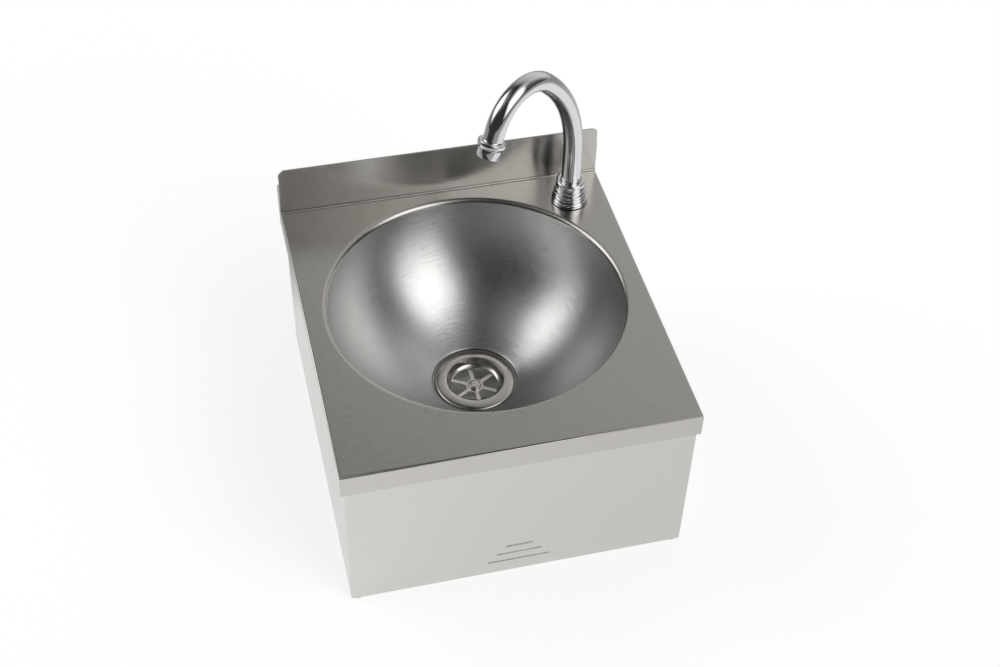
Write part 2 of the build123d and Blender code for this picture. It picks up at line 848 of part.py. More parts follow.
# Valve body with its seat and its outlet port on top
neck_front = deck_front + valve_neck_back
shoulder = bracket_face_y
seat_front = deck_front + valve_seat_back
seat_back = seat_front + valve_seat_thickness
valve_back = deck_front + valve_rear_back
port_top = valve_z + valve_port_rise
with BuildPart() as valve_body:
    with BuildSketch(valve_plane):
        Polygon(
            (neck_front, 0),
            (neck_front, valve_neck_radius),
            (shoulder, valve_neck_radius),
            (shoulder, valve_radius),
            (valve_back - valve_edge, valve_radius),
            (valve_back, valve_radius - valve_edge),
            (valve_back, 0),
            align=None,
        )
    revolve(axis=valve_axis)
    with BuildSketch(level(valve_z, valve_x, valve_port_y)):
        Circle(valve_port_radius)
    extrude(amount=valve_port_rise)
    with BuildSketch(valve_plane):
        Polygon(
            (neck_front - overrun, 0),
            (neck_front - overrun, valve_chamber_radius),
            (seat_front, valve_chamber_radius),
            (seat_front, valve_orifice_radius),
            (seat_back, valve_orifice_radius),
            (seat_back, valve_chamber_radius),
            (valve_back + overrun, valve_chamber_radius),
            (valve_back + overrun, 0),
            align=None,
        )
    revolve(axis=valve_axis, mode=Mode.SUBTRACT)
    with BuildSketch(level(valve_z, valve_x, valve_port_y)):
        Circle(valve_port_bore)
    extrude(amount=valve_port_rise + overrun, mode=Mode.SUBTRACT)
valve_body.part.label = "valve_body"
export_step(valve_body.part, "parts/valve_body.step")

# Bonnet that guides the plunger, with its seal
bonnet_front = neck_front - bonnet_flange
bonnet_back = neck_front + bonnet_spigot
rod_bore = plunger_rod_radius + running_clearance
groove_front = bonnet_back - 2 * bonnet_groove_width
groove_back = bonnet_back - bonnet_groove_width
groove_radius = plunger_rod_radius + bonnet_groove_depth
with BuildPart() as valve_bonnet:
    with BuildSketch(valve_plane):
        Polygon(
            (bonnet_front, rod_bore),
            (bonnet_front, bonnet_flange_radius - valve_edge),
            (bonnet_front + valve_edge, bonnet_flange_radius),
            (neck_front, bonnet_flange_radius),
            (neck_front, valve_chamber_radius - thread_clearance),
            (bonnet_back, valve_chamber_radius - thread_clearance),
            (bonnet_back, rod_bore),
            (groove_back, rod_bore),
            (groove_back, groove_radius),
            (groove_front, groove_radius),
            (groove_front, rod_bore),
            align=None,
        )
    revolve(axis=valve_axis)
valve_bonnet.part.label = "valve_bonnet"
export_step(valve_bonnet.part, "parts/valve_bonnet.step")

seal_wire = bonnet_groove_depth - running_clearance - thread_clearance
with BuildPart() as plunger_seal:
    with BuildSketch(valve_plane):
        with Locations(((groove_front + groove_back) / 2, rod_bore + seal_wire / 2)):
            Circle(seal_wire / 2)
    revolve(axis=valve_axis)
plunger_seal.part.label = "plunger_seal"
export_step(plunger_seal.part, "parts/plunger_seal.step")

with BuildPart() as valve_locknut:
    with BuildSketch(facing_y(shoulder - bracket_plate, valve_x, valve_z)):
        RegularPolygon(across_corners(locknut_flats), 6)
        Circle(valve_neck_radius + thread_clearance, mode=Mode.SUBTRACT)
    extrude(amount=locknut_height)
valve_locknut.part.label = "valve_locknut"
export_step(valve_locknut.part, "parts/valve_locknut.step")

# Plunger with its rod, the poppet on it and the nut behind the poppet
poppet_front = seat_back + poppet_seat_gap
poppet_back = poppet_front + poppet_thickness
rod_end = poppet_back + poppet_nut_height
with BuildPart() as plunger:
    with BuildSketch(valve_plane):
        with BuildLine():
            dome_radius = (plunger_head_radius**2 + plunger_dome**2) / (2 * plunger_dome)
            half_angle = asin(plunger_head_radius / dome_radius) / 2
            ThreePointArc(
                (plunger_tip, 0),
                (
                    plunger_tip + dome_radius * (1 - cos(half_angle)),
                    dome_radius * sin(half_angle),
                ),
                (plunger_tip + plunger_dome, plunger_head_radius),
            )
            Polyline(
                (plunger_tip + plunger_dome, plunger_head_radius),
                (plunger_head_back, plunger_head_radius),
                (plunger_head_back, plunger_rod_radius),
                (rod_end, plunger_rod_radius),
                (rod_end, 0),
                (plunger_tip, 0),
            )
        make_face()
    revolve(axis=valve_axis)
plunger.part.label = "plunger"
export_step(plunger.part, "parts/plunger.step")


def ring_on_rod(front, back, radius):
    """Ring threaded on the plunger's rod between two distances along Y."""
    with BuildPart() as made:
        with BuildSketch(facing_y(back, valve_x, valve_z)):
            Circle(radius)
            Circle(plunger_rod_radius + thread_clearance, mode=Mode.SUBTRACT)
        extrude(amount=back - front)
    return made.part


poppet = ring_on_rod(poppet_front, poppet_back, poppet_radius)
poppet.label = "poppet"
export_step(poppet, "parts/poppet.step")
poppet_nut = ring_on_rod(poppet_back, rod_end, poppet_nut_radius)
poppet_nut.label = "poppet_nut"
export_step(poppet_nut, "parts/poppet_nut.step")

# Valve spring, one wire from the poppet to the manifold's spigot
spigot_front = valve_back - manifold_spigot
spring_start = poppet_back + seat_gap + spring_wire / 2
spring_end = spigot_front - seat_gap - spring_wire / 2
spring_pitch = (spring_end - spring_start) / spring_turns


def spring_point(turns):
    """Place on the wire's centre line, and its direction, after so many turns."""
    angle = 2 * pi * turns
    place = Vector(
        valve_x + spring_coil_radius * cos(angle),
        spring_start + spring_pitch * turns,
        valve_z + spring_coil_radius * sin(angle),
    )
    heading = Vector(
        -2 * pi * spring_coil_radius * sin(angle),
        spring_pitch,
        2 * pi * spring_coil_radius * cos(angle),
    )
    return place, heading.normalized()


with BuildPart() as valve_spring:
    with BuildLine():
        for half_turn in range(2 * spring_turns):
            first, first_heading = spring_point(half_turn / 2)
            last, last_heading = spring_point((half_turn + 1) / 2)
            chord = last - first
            both = first_heading + last_heading
            spread = 2 * (1 - first_heading.dot(last_heading))
            reach = (sqrt(chord.dot(both) ** 2 + spread * chord.dot(chord)) - chord.dot(both)) / spread
            middle = (first + last + (first_heading - last_heading) * reach) / 2
            TangentArc(first, middle, tangent=first_heading)
            TangentArc(last, middle, tangent=-last_heading)
    with BuildSketch(Plane(origin=spring_point(0)[0], z_dir=spring_point(0)[1])):
        Circle(spring_wire / 2)
    sweep()
valve_spring.part.label = "valve_spring"
export_step(valve_spring.part, "parts/valve_spring.step")
print("valve spring: least gap between turns", round(spring_pitch - spring_wire, 2))
print("valve spring: volume", round(valve_spring.part.volume, 1), "section by length", round(
    pi * (spring_wire / 2) ** 2 * spring_turns * hypot(2 * pi * spring_coil_radius, spring_pitch), 1
))

# Bracket that carries the valve on the right side plate
bracket_low = valve_z - bracket_below
bracket_high = valve_z + bracket_above
with BuildPart() as valve_bracket:
    block(
        valve_x - bracket_reach, side_plate_inner,
        bracket_face_y - bracket_plate, bracket_face_y,
        bracket_low, bracket_high,
    )
    block(
        side_plate_inner - bracket_plate, side_plate_inner,
        bracket_face_y - bracket_plate, bracket_face_y + bracket_flange,
        bracket_low, bracket_high,
    )
    with BuildSketch(facing_y(bracket_face_y + overrun, valve_x, valve_z)):
        Circle(valve_neck_radius + thread_clearance)
    extrude(amount=bracket_plate + 2 * overrun, mode=Mode.SUBTRACT)
    with BuildSketch(facing_x(side_plate_inner - bracket_plate - overrun)):
        with Locations(*[(bracket_screw_y, z) for z in bracket_screw_heights]):
            Circle(bracket_screw_radius + thread_clearance)
    extrude(amount=bracket_plate + 2 * overrun, mode=Mode.SUBTRACT)
valve_bracket.part.label = "valve_bracket"
export_step(valve_bracket.part, "parts/valve_bracket.step")

with BuildPart() as bracket_screws:
    for z in bracket_screw_heights:
        with BuildSketch(facing_x(side_plate_x, bracket_screw_y, z)):
            Circle(bracket_screw_head_radius)
        extrude(amount=bracket_screw_head_height)
        screw_grip = plate + bracket_plate + bracket_nut_height + bracket_screw_tail
        with BuildSketch(facing_x(side_plate_x - screw_grip, bracket_screw_y, z)):
            Circle(bracket_screw_radius)
        extrude(amount=screw_grip)
bracket_screws.part.label = "bracket_screws"
export_step(bracket_screws.part, "parts/bracket_screws.step")

with BuildPart() as bracket_nuts:
    for z in bracket_screw_heights:
        with BuildSketch(facing_x(side_plate_inner - bracket_plate, bracket_screw_y, z)):
            RegularPolygon(across_corners(bracket_nut_flats), 6)
            Circle(bracket_screw_radius, mode=Mode.SUBTRACT)
        extrude(amount=-bracket_nut_height)
bracket_nuts.part.label = "bracket_nuts"
export_step(bracket_nuts.part, "parts/bracket_nuts.step")

# Inlet manifold behind the valve, with two branches down
manifold_end = valve_back + manifold_length
branch_y = {"hot": valve_back + inlet_first, "cold": valve_back + inlet_first + inlet_spacing}
branch_foot = valve_z - branch_length
with BuildPart() as inlet_manifold:
    with BuildSketch(valve_plane):
        Polygon(
            (spigot_front, 0),
            (spigot_front, valve_chamber_radius - thread_clearance),
            (valve_back, valve_chamber_radius - thread_clearance),
            (valve_back, manifold_radius),
            (manifold_end, manifold_radius),
            (manifold_end, 0),
            align=None,
        )
    revolve(axis=valve_axis)
    for y in branch_y.values():
        with BuildSketch(level(valve_z, valve_x, y)):
            Circle(branch_radius)
        extrude(amount=-branch_length)
    with BuildSketch(valve_plane):
        Polygon(
            (spigot_front - overrun, 0),
            (spigot_front - overrun, manifold_spigot_bore),
            (valve_back, manifold_spigot_bore),
            (valve_back, manifold_bore),
            (manifold_end + overrun, manifold_bore),
            (manifold_end + overrun, 0),
            align=None,
        )
    revolve(axis=valve_axis, mode=Mode.SUBTRACT)
    for y in branch_y.values():
        with BuildSketch(level(valve_z, valve_x, y)):
            Circle(branch_bore)
        extrude(amount=-branch_length - overrun, mode=Mode.SUBTRACT)
inlet_manifold.part.label = "inlet_manifold"
export_step(inlet_manifold.part, "parts/inlet_manifold.step")

with BuildPart() as manifold_plug:
    with BuildSketch(facing_y(manifold_end, valve_x, valve_z)):
        RegularPolygon(across_corners(plug_flats), 6)
    extrude(amount=-plug_head)
    with BuildSketch(facing_y(manifold_end, valve_x, valve_z)):
        Circle(manifold_bore - thread_clearance)
    extrude(amount=plug_spigot)
manifold_plug.part.label = "manifold_plug"
export_step(manifold_plug.part, "parts/manifold_plug.step")

connector_top = branch_foot - inlet_washer_thickness
connector_low = connector_top - connector_length
inlet_foot = connector_low - inlet_thread_length
for supply, y in branch_y.items():
    with BuildPart() as connector:
        with BuildSketch(level(connector_top, valve_x, y)):
            RegularPolygon(across_corners(connector_flats), 6)
        extrude(amount=-connector_length)
        with BuildSketch(level(connector_low, valve_x, y)):
            Circle(inlet_thread_radius)
        extrude(amount=-inlet_thread_length)
        with BuildSketch(level(connector_top + overrun, valve_x, y)):
            Circle(inlet_bore)
        extrude(amount=-connector_length - inlet_thread_length - 2 * overrun, mode=Mode.SUBTRACT)
    connector.part.label = f"{supply}_inlet"
    export_step(connector.part, f"parts/{supply}_inlet.step")

with BuildPart() as inlet_washers:
    for y in branch_y.values():
        with BuildSketch(level(branch_foot, valve_x, y)):
            Circle(branch_radius)
            Circle(branch_bore, mode=Mode.SUBTRACT)
        extrude(amount=-inlet_washer_thickness)
inlet_washers.part.label = "inlet_washers"
export_step(inlet_washers.part, "parts/inlet_washers.step")

with BuildPart() as inlet_filters:
    for y in branch_y.values():
        with BuildSketch(level(connector_low, valve_x, y)):
            Circle(filter_radius)
            Circle(filter_hole_radius, mode=Mode.SUBTRACT)
            with PolarLocations(filter_radius / 2, filter_hole_count):
                Circle(filter_hole_radius, mode=Mode.SUBTRACT)
        extrude(amount=filter_thickness)
inlet_filters.part.label = "inlet_filters"
export_step(inlet_filters.part, "parts/inlet_filters.step")

# Outlet elbow on top of the valve
elbow_z = port_top + elbow_rise
elbow_end = valve_port_y + elbow_run
socket_floor = elbow_end - elbow_socket_depth
elbow_corners = [
    (valve_x, valve_port_y, port_top),
    (valve_x, valve_port_y, elbow_z),
    (valve_x, elbow_end, elbow_z),
]
with BuildPart() as outlet_elbow:
    with BuildLine() as elbow_path:
        FilletPolyline(*elbow_corners, radius=elbow_bend)
    with BuildSketch(level(port_top, valve_x, valve_port_y)):
        Circle(elbow_radius)
    sweep(path=elbow_path.wires()[0])
    with BuildSketch(level(port_top, valve_x, valve_port_y)):
        Circle(valve_port_bore - thread_clearance)
    extrude(amount=-elbow_spigot)
    with BuildSketch(level(port_top - elbow_spigot, valve_x, valve_port_y)):
        Circle(elbow_bore)
    extrude(amount=elbow_spigot, mode=Mode.SUBTRACT)
    with BuildSketch(level(port_top, valve_x, valve_port_y)):
        Circle(elbow_bore)
    sweep(path=elbow_path.wires()[0], mode=Mode.SUBTRACT)
    with BuildSketch(facing_y(elbow_end, valve_x, elbow_z)):
        Circle(pipe_radius + thread_clearance)
    extrude(amount=elbow_socket_depth, mode=Mode.SUBTRACT)
outlet_elbow.part.label = "outlet_elbow"
export_step(outlet_elbow.part, "parts/outlet_elbow.step")

# Outlet pipe from the elbow to the tail of the tap
shank_foot = deck_z - tap_shank_length
pipe_top = shank_foot - tail_washer_thickness
pipe_bow_x = half_width - pipe_bow_inset
pipe_corners = [
    (valve_x, socket_floor, elbow_z),
    (valve_x, elbow_end + pipe_straight, elbow_z),
    (pipe_bow_x, bowl_y - pipe_bow_front, deck_z - pipe_bow_drop),
    (pipe_bow_x, tap_y - pipe_bow_rear, deck_z - pipe_bow_drop),
    (tap_x, tap_y, deck_z - pipe_low_drop),
    (tap_x, tap_y, pipe_top),
]
with BuildPart() as outlet_pipe:
    with BuildLine() as pipe_path:
        FilletPolyline(*pipe_corners, radius=pipe_bend_radius)
    with BuildSketch(facing_y(socket_floor, valve_x, elbow_z)):
        Circle(pipe_radius)
        Circle(pipe_radius - pipe_wall, mode=Mode.SUBTRACT)
    sweep(path=pipe_path.wires()[0])
    with BuildSketch(level(pipe_top, tap_x, tap_y)):
        Circle(tap_shank_radius - tail_washer_thickness)
        Circle(pipe_radius - pipe_wall, mode=Mode.SUBTRACT)
    extrude(amount=-tail_washer_thickness)
outlet_pipe.part.label = "outlet_pipe"
export_step(outlet_pipe.part, "parts/outlet_pipe.step")
pipe_section = pi * (pipe_radius**2 - (pipe_radius - pipe_wall) ** 2)
print("outlet pipe: volume", round(outlet_pipe.part.volume, 1), "section by length", round(
    pipe_section * pipe_path.wires()[0].length, 1
))

olive_thickness = tail_washer_thickness
with BuildPart() as pipe_nut:
    with BuildSketch(facing_y(elbow_end - pipe_nut_overlap, valve_x, elbow_z)):
        RegularPolygon(across_corners(pipe_nut_flats), 6)
    extrude(amount=-pipe_nut_length)
    with BuildSketch(facing_y(elbow_end - pipe_nut_overlap, valve_x, elbow_z)):
        Circle(elbow_radius + thread_clearance)
    extrude(amount=-pipe_nut_overlap - olive_thickness, mode=Mode.SUBTRACT)
    with BuildSketch(facing_y(elbow_end, valve_x, elbow_z)):
        Circle(pipe_radius + thread_clearance)
    extrude(amount=-pipe_nut_length, mode=Mode.SUBTRACT)
pipe_nut.part.label = "pipe_nut"
export_step(pipe_nut.part, "parts/pipe_nut.step")

with BuildPart() as pipe_olive:
    with BuildSketch(facing_y(elbow_end, valve_x, elbow_z)):
        Circle(elbow_radius)
        Circle(pipe_radius + thread_clearance, mode=Mode.SUBTRACT)
    extrude(amount=-olive_thickness)
pipe_olive.part.label = "pipe_olive"
export_step(pipe_olive.part, "parts/pipe_olive.step")

tail_floor = pipe_top - tail_washer_thickness
with BuildPart() as tail_nut:
    with BuildSketch(level(tail_floor - tail_nut_floor, tap_x, tap_y)):
        RegularPolygon(across_corners(tail_nut_flats), 6)
    extrude(amount=tail_nut_floor + tail_nut_cup)
    with BuildSketch(level(tail_floor, tap_x, tap_y)):
        Circle(tap_shank_radius + thread_clearance)
    extrude(amount=tail_nut_cup + overrun, mode=Mode.SUBTRACT)
    with BuildSketch(level(tail_floor - tail_nut_floor - overrun, tap_x, tap_y)):
        Circle(pipe_radius + thread_clearance)
    extrude(amount=tail_nut_floor + 2 * overrun, mode=Mode.SUBTRACT)
tail_nut.part.label = "tail_nut"
export_step(tail_nut.part, "parts/tail_nut.step")

with BuildPart() as tail_washer:
    with BuildSketch(level(pipe_top, tap_x, tap_y)):
        Circle(tap_shank_radius)
        Circle(pipe_radius - pipe_wall, mode=Mode.SUBTRACT)
    extrude(amount=tail_washer_thickness)
tail_washer.part.label = "tail_washer"
export_step(tail_washer.part, "parts/tail_washer.step")

# Tap base, its gasket and what clamps it to the worktop
foot_z = deck_z + tap_gasket_thickness
base_top = deck_z + tap_base_height
spout_foot = deck_z + spout_foot_lift
socket_radius = spout_radius + running_clearance
clip_ledge = base_top - clip_thickness - 2 * seat_gap
clip_bore = clip_radius + seat_gap
body_low = foot_z + tap_foot_height
body_high = deck_z + tap_body_top
body_middle = (body_low + body_high) / 2
ring_low = body_high + tap_groove
with BuildPart() as tap_base:
    with BuildSketch(upright(tap_x, tap_y)):
        Polygon(
            (tap_shank_bore, shank_foot),
            (tap_shank_radius, shank_foot),
            (tap_shank_radius, foot_z),
            (tap_foot_radius, foot_z),
            (tap_foot_radius, body_low - tap_edge),
            (tap_foot_radius - tap_edge, body_low),
            (tap_body_radius - tap_edge, body_low),
            (tap_body_radius, body_low + tap_edge),
            (tap_body_radius, body_middle - tap_edge),
            (tap_body_radius - tap_edge, body_middle),
            (tap_body_radius, body_middle + tap_edge),
            (tap_body_radius, body_high - tap_edge),
            (tap_body_radius - tap_edge, body_high),
            (tap_ring_radius - tap_groove, body_high),
            (tap_ring_radius - tap_groove, ring_low),
            (tap_ring_radius, ring_low),
            (tap_ring_radius, base_top),
            (clip_bore, base_top),
            (clip_bore, clip_ledge),
            (socket_radius, clip_ledge),
            (socket_radius, spout_foot - seat_gap),
            (tap_shank_bore, spout_foot - seat_gap),
            align=None,
        )
    revolve(axis=upright_axis(tap_x, tap_y))
tap_base.part.label = "tap_base"
export_step(tap_base.part, "parts/tap_base.step")

with BuildPart() as tap_gasket:
    with BuildSketch(level(deck_z, tap_x, tap_y)):
        Circle(tap_foot_radius - tap_edge)
        Circle(tap_hole_radius, mode=Mode.SUBTRACT)
    extrude(amount=tap_gasket_thickness)
tap_gasket.part.label = "tap_gasket"
export_step(tap_gasket.part, "parts/tap_gasket.step")

with BuildPart() as tap_washer:
    with BuildSketch(level(under_deck, tap_x, tap_y)):
        Circle(tap_washer_radius)
        Circle(tap_shank_radius + thread_clearance, mode=Mode.SUBTRACT)
    extrude(amount=-tap_washer_thickness)
tap_washer.part.label = "tap_washer"
export_step(tap_washer.part, "parts/tap_washer.step")

with BuildPart() as tap_backnut:
    with BuildSketch(level(under_deck - tap_washer_thickness, tap_x, tap_y)):
        RegularPolygon(across_corners(backnut_flats), 6)
        Circle(tap_shank_radius + thread_clearance, mode=Mode.SUBTRACT)
    extrude(amount=-backnut_height)
tap_backnut.part.label = "tap_backnut"
export_step(tap_backnut.part, "parts/tap_backnut.step")

gland_top = base_top + gland_height
with BuildPart() as gland_nut:
    with BuildSketch(upright(tap_x, tap_y)):
        Polygon(
            (socket_radius, base_top),
            (gland_radius - tap_edge, base_top),
            (gland_radius, base_top + tap_edge),
            (gland_radius, gland_top - gland_edge),
            (gland_radius - gland_edge, gland_top),
            (gland_mouth, gland_top),
            (socket_radius, gland_top - (gland_mouth - socket_radius)),
            align=None,
        )
    revolve(axis=upright_axis(tap_x, tap_y))
gland_nut.part.label = "gland_nut"
export_step(gland_nut.part, "parts/gland_nut.step")

# Spout: a rising leg, a wide bend, a tight bend and a falling leg
heading = radians(spout_heading)
spout_side = Vector(cos(heading), sin(heading), 0)
up = Vector(0, 0, 1)
bend_plane = Plane(origin=(tap_x, tap_y, deck_z), x_dir=spout_side, z_dir=spout_side.cross(up))
turn = radians(spout_first_bend)
full_turn = radians(spout_first_bend + spout_second_bend)
first_centre = (spout_first_radius, spout_leg)
joint = (
    first_centre[0] - spout_first_radius * cos(turn),
    first_centre[1] + spout_first_radius * sin(turn),
)
second_centre = (
    joint[0] + spout_second_radius * cos(turn),
    joint[1] - spout_second_radius * sin(turn),
)
bend_end = (
    second_centre[0] - spout_second_radius * cos(full_turn),
    second_centre[1] + spout_second_radius * sin(full_turn),
)
spout_end = (
    bend_end[0] + spout_end_run * sin(full_turn),
    bend_end[1] + spout_end_run * cos(full_turn),
)
first_ring = spout_foot + oring_lift
ring_heights = [first_ring, first_ring + oring_spacing]
clip_low = clip_ledge + seat_gap
with BuildPart() as spout_tube:
    with BuildLine(bend_plane) as spout_path:
        Line((0, spout_foot_lift), (0, spout_leg))
        CenterArc(first_centre, spout_first_radius, 180, -spout_first_bend)
        CenterArc(second_centre, spout_second_radius, 180 - spout_first_bend, -spout_second_bend)
        Line(bend_end, spout_end)
    with BuildSketch(level(spout_foot, tap_x, tap_y)):
        Circle(spout_radius)
        Circle(spout_radius - spout_wall, mode=Mode.SUBTRACT)
    sweep(path=spout_path.wires()[0])
    for low, width, depth in [
        *[(height, oring_groove, oring_depth) for height in ring_heights],
        (clip_low, clip_thickness, clip_groove),
    ]:
        with BuildSketch(level(low, tap_x, tap_y)):
            Circle(spout_radius + overrun)
            Circle(spout_radius - depth, mode=Mode.SUBTRACT)
        extrude(amount=width, mode=Mode.SUBTRACT)
spout_tube.part.label = "spout_tube"
export_step(spout_tube.part, "parts/spout_tube.step")

with BuildPart() as spout_orings:
    for height in ring_heights:
        with BuildSketch(upright(tap_x, tap_y)):
            with Locations((
                spout_radius - oring_depth + oring_slack + oring_wire / 2,
                height + oring_groove / 2,
            )):
                Circle(oring_wire / 2)
        revolve(axis=upright_axis(tap_x, tap_y))
spout_orings.part.label = "spout_orings"
export_step(spout_orings.part, "parts/spout_orings.step")

with BuildPart() as spout_clip:
    with BuildSketch(level(clip_low, tap_x, tap_y)):
        Circle(clip_radius)
        Circle(spout_radius - clip_groove + oring_slack, mode=Mode.SUBTRACT)
        Rectangle(
            clip_radius + overrun, clip_split,
            align=(Align.MIN, Align.CENTER), mode=Mode.SUBTRACT,
        )
    extrude(amount=clip_thickness)
spout_clip.part.label = "spout_clip"
export_step(spout_clip.part, "parts/spout_clip.step")

# Outlet of the spout, its axis along the falling leg
outlet_across = spout_side * -cos(full_turn) + up * sin(full_turn)
outlet_along = spout_side * sin(full_turn) + up * cos(full_turn)
outlet_place = Vector(tap_x, tap_y, deck_z) + spout_side * spout_end[0] + up * spout_end[1]
outlet_plane = Plane(
    origin=outlet_place, x_dir=outlet_across, z_dir=outlet_across.cross(outlet_along)
)
outlet_axis = Axis(outlet_place, outlet_along)


def across_outlet(distance):
    """Plane square to the outlet's axis, this far past the end of the tube."""
    return Plane(
        origin=outlet_place + outlet_along * distance, x_dir=outlet_across, z_dir=outlet_along
    )


collar_start = -collar_length / 2
collar_end = collar_length / 2
collar_bore = spout_radius + thread_clearance
with BuildPart() as outlet_collar:
    with BuildSketch(outlet_plane):
        Polygon(
            (collar_bore, collar_start),
            (collar_radius - collar_bead, collar_start),
            (collar_radius, collar_start + collar_bead / 2),
            (collar_radius, collar_end - collar_bead),
            (collar_radius - collar_bead / 2, collar_end),
            (nozzle_bore, collar_end),
            (nozzle_bore, thread_clearance),
            (collar_bore, thread_clearance),
            align=None,
        )
    revolve(axis=outlet_axis)
outlet_collar.part.label = "outlet_collar"
export_step(outlet_collar.part, "parts/outlet_collar.step")

nozzle_end = collar_end + nozzle_length
aerator_end = nozzle_end - aerator_washer_thickness
aerator_start = aerator_end - aerator_length
nozzle_lip = aerator_radius - aerator_washer_thickness
with BuildPart() as aerator_housing:
    with BuildSketch(outlet_plane):
        Polygon(
            (nozzle_bore, collar_end),
            (nozzle_radius - nozzle_edge, collar_end),
            (nozzle_radius, collar_end + nozzle_edge),
            (nozzle_radius, nozzle_end - nozzle_edge),
            (nozzle_radius - nozzle_edge, nozzle_end),
            (nozzle_lip, nozzle_end),
            (nozzle_lip, aerator_end),
            (nozzle_bore, aerator_end),
            align=None,
        )
    revolve(axis=outlet_axis)
    # six flats for a spanner
    with BuildSketch(across_outlet(collar_end + nozzle_round)):
        Circle(nozzle_radius + overrun)
        RegularPolygon(across_corners(nozzle_flats), 6, mode=Mode.SUBTRACT)
    extrude(amount=nozzle_length, mode=Mode.SUBTRACT)
aerator_housing.part.label = "aerator_housing"
export_step(aerator_housing.part, "parts/aerator_housing.step")

with BuildPart() as aerator_insert:
    with BuildSketch(across_outlet(aerator_start)):
        Circle(aerator_radius)
        Circle(aerator_hole_radius, mode=Mode.SUBTRACT)
        for ring in (1, 2):
            with PolarLocations(ring * aerator_ring_radius, ring * aerator_ring_holes):
                Circle(aerator_hole_radius, mode=Mode.SUBTRACT)
    extrude(amount=aerator_length)
aerator_insert.part.label = "aerator_insert"
export_step(aerator_insert.part, "parts/aerator_insert.step")

with BuildPart() as aerator_washer:
    with BuildSketch(across_outlet(aerator_start - aerator_washer_thickness)):
        Circle(aerator_radius)
        Circle(nozzle_lip, mode=Mode.SUBTRACT)
    extrude(amount=aerator_washer_thickness)
aerator_washer.part.label = "aerator_washer"
export_step(aerator_washer.part, "parts/aerator_washer.step")

print("skirt pushes the plunger", round(plunger_travel, 3), "mm, lever", round(pivot_z - valve_z, 3))
print("valve at", valve_x, valve_z, "inlets at y", branch_y, "foot", inlet_foot)
print("waste outlet foot", outlet_foot, "bowl radius", round(bowl_radius, 2))
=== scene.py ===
"""Looks of a wall hung hand wash sink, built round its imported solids."""

import json
from math import asin, cos, pi, radians, sin, tan

import bmesh
import bpy
from bpy.props import FloatProperty, FloatVectorProperty, IntProperty, PointerProperty
from mathutils import Matrix, Vector


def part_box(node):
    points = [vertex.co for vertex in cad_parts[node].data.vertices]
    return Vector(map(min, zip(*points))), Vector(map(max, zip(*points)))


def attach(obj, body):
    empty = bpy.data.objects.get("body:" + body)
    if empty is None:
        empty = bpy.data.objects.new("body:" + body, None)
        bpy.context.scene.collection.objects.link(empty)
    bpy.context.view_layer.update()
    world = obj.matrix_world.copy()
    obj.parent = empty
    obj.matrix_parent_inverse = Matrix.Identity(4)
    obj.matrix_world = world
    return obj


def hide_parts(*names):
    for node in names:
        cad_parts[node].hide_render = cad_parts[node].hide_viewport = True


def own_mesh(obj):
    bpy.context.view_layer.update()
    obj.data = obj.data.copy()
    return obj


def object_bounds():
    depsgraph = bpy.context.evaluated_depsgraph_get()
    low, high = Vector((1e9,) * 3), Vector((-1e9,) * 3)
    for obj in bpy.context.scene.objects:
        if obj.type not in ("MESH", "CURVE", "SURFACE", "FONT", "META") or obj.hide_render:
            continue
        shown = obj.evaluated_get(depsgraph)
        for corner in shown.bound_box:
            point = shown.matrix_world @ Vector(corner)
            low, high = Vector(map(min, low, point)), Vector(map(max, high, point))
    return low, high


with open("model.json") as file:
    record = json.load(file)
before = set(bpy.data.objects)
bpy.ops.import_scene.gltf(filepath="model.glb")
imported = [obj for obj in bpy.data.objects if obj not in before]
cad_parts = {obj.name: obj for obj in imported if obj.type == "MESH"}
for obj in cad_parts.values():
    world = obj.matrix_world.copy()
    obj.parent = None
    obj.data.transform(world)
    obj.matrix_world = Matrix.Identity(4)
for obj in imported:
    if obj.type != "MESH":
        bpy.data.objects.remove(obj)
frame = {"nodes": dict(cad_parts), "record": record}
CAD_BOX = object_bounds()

bl_info = {
    "name": "Hand Wash Sink",
    "version": (1, 0, 0),
    "blender": (4, 5, 0),
    "location": "View3D > Sidebar > Sink",
    "description": "Builds the sheet steel, the tap, the waste and the studio of a hand wash sink",
    "category": "Add Mesh",
}

MM = 0.001
UP = Vector((0, 0, 1))
ACROSS = Vector((1, 0, 0))
OUT = Vector((0, -1, 0))
FULL = 2 * pi
QUARTER = pi / 2

WORKTOP_LOW, WORKTOP_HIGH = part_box("worktop")
SKIRT_LOW, SKIRT_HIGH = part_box("knee_skirt")
BOWL_LOW, BOWL_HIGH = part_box("bowl")
SPRING_LOW, SPRING_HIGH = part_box("valve_spring")
TAP_LOW, TAP_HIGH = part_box("tap_base")
BOWL_AXIS = Vector((0, (BOWL_LOW.y + BOWL_HIGH.y) / 2, 0))
TAP_AXIS = Vector(((TAP_LOW.x + TAP_HIGH.x) / 2, (TAP_LOW.y + TAP_HIGH.y) / 2, 0))
DECK = 80.0 * MM
ROUND_STEPS = 4

# Limits below which two places are the same, and above which two faces make a fold
MERGED = MM / 1000
SAME_PLACE = MM / 100
SAME_LEVEL = MM / 10
SHARP_FOLD = radians(60)


# Shader helpers

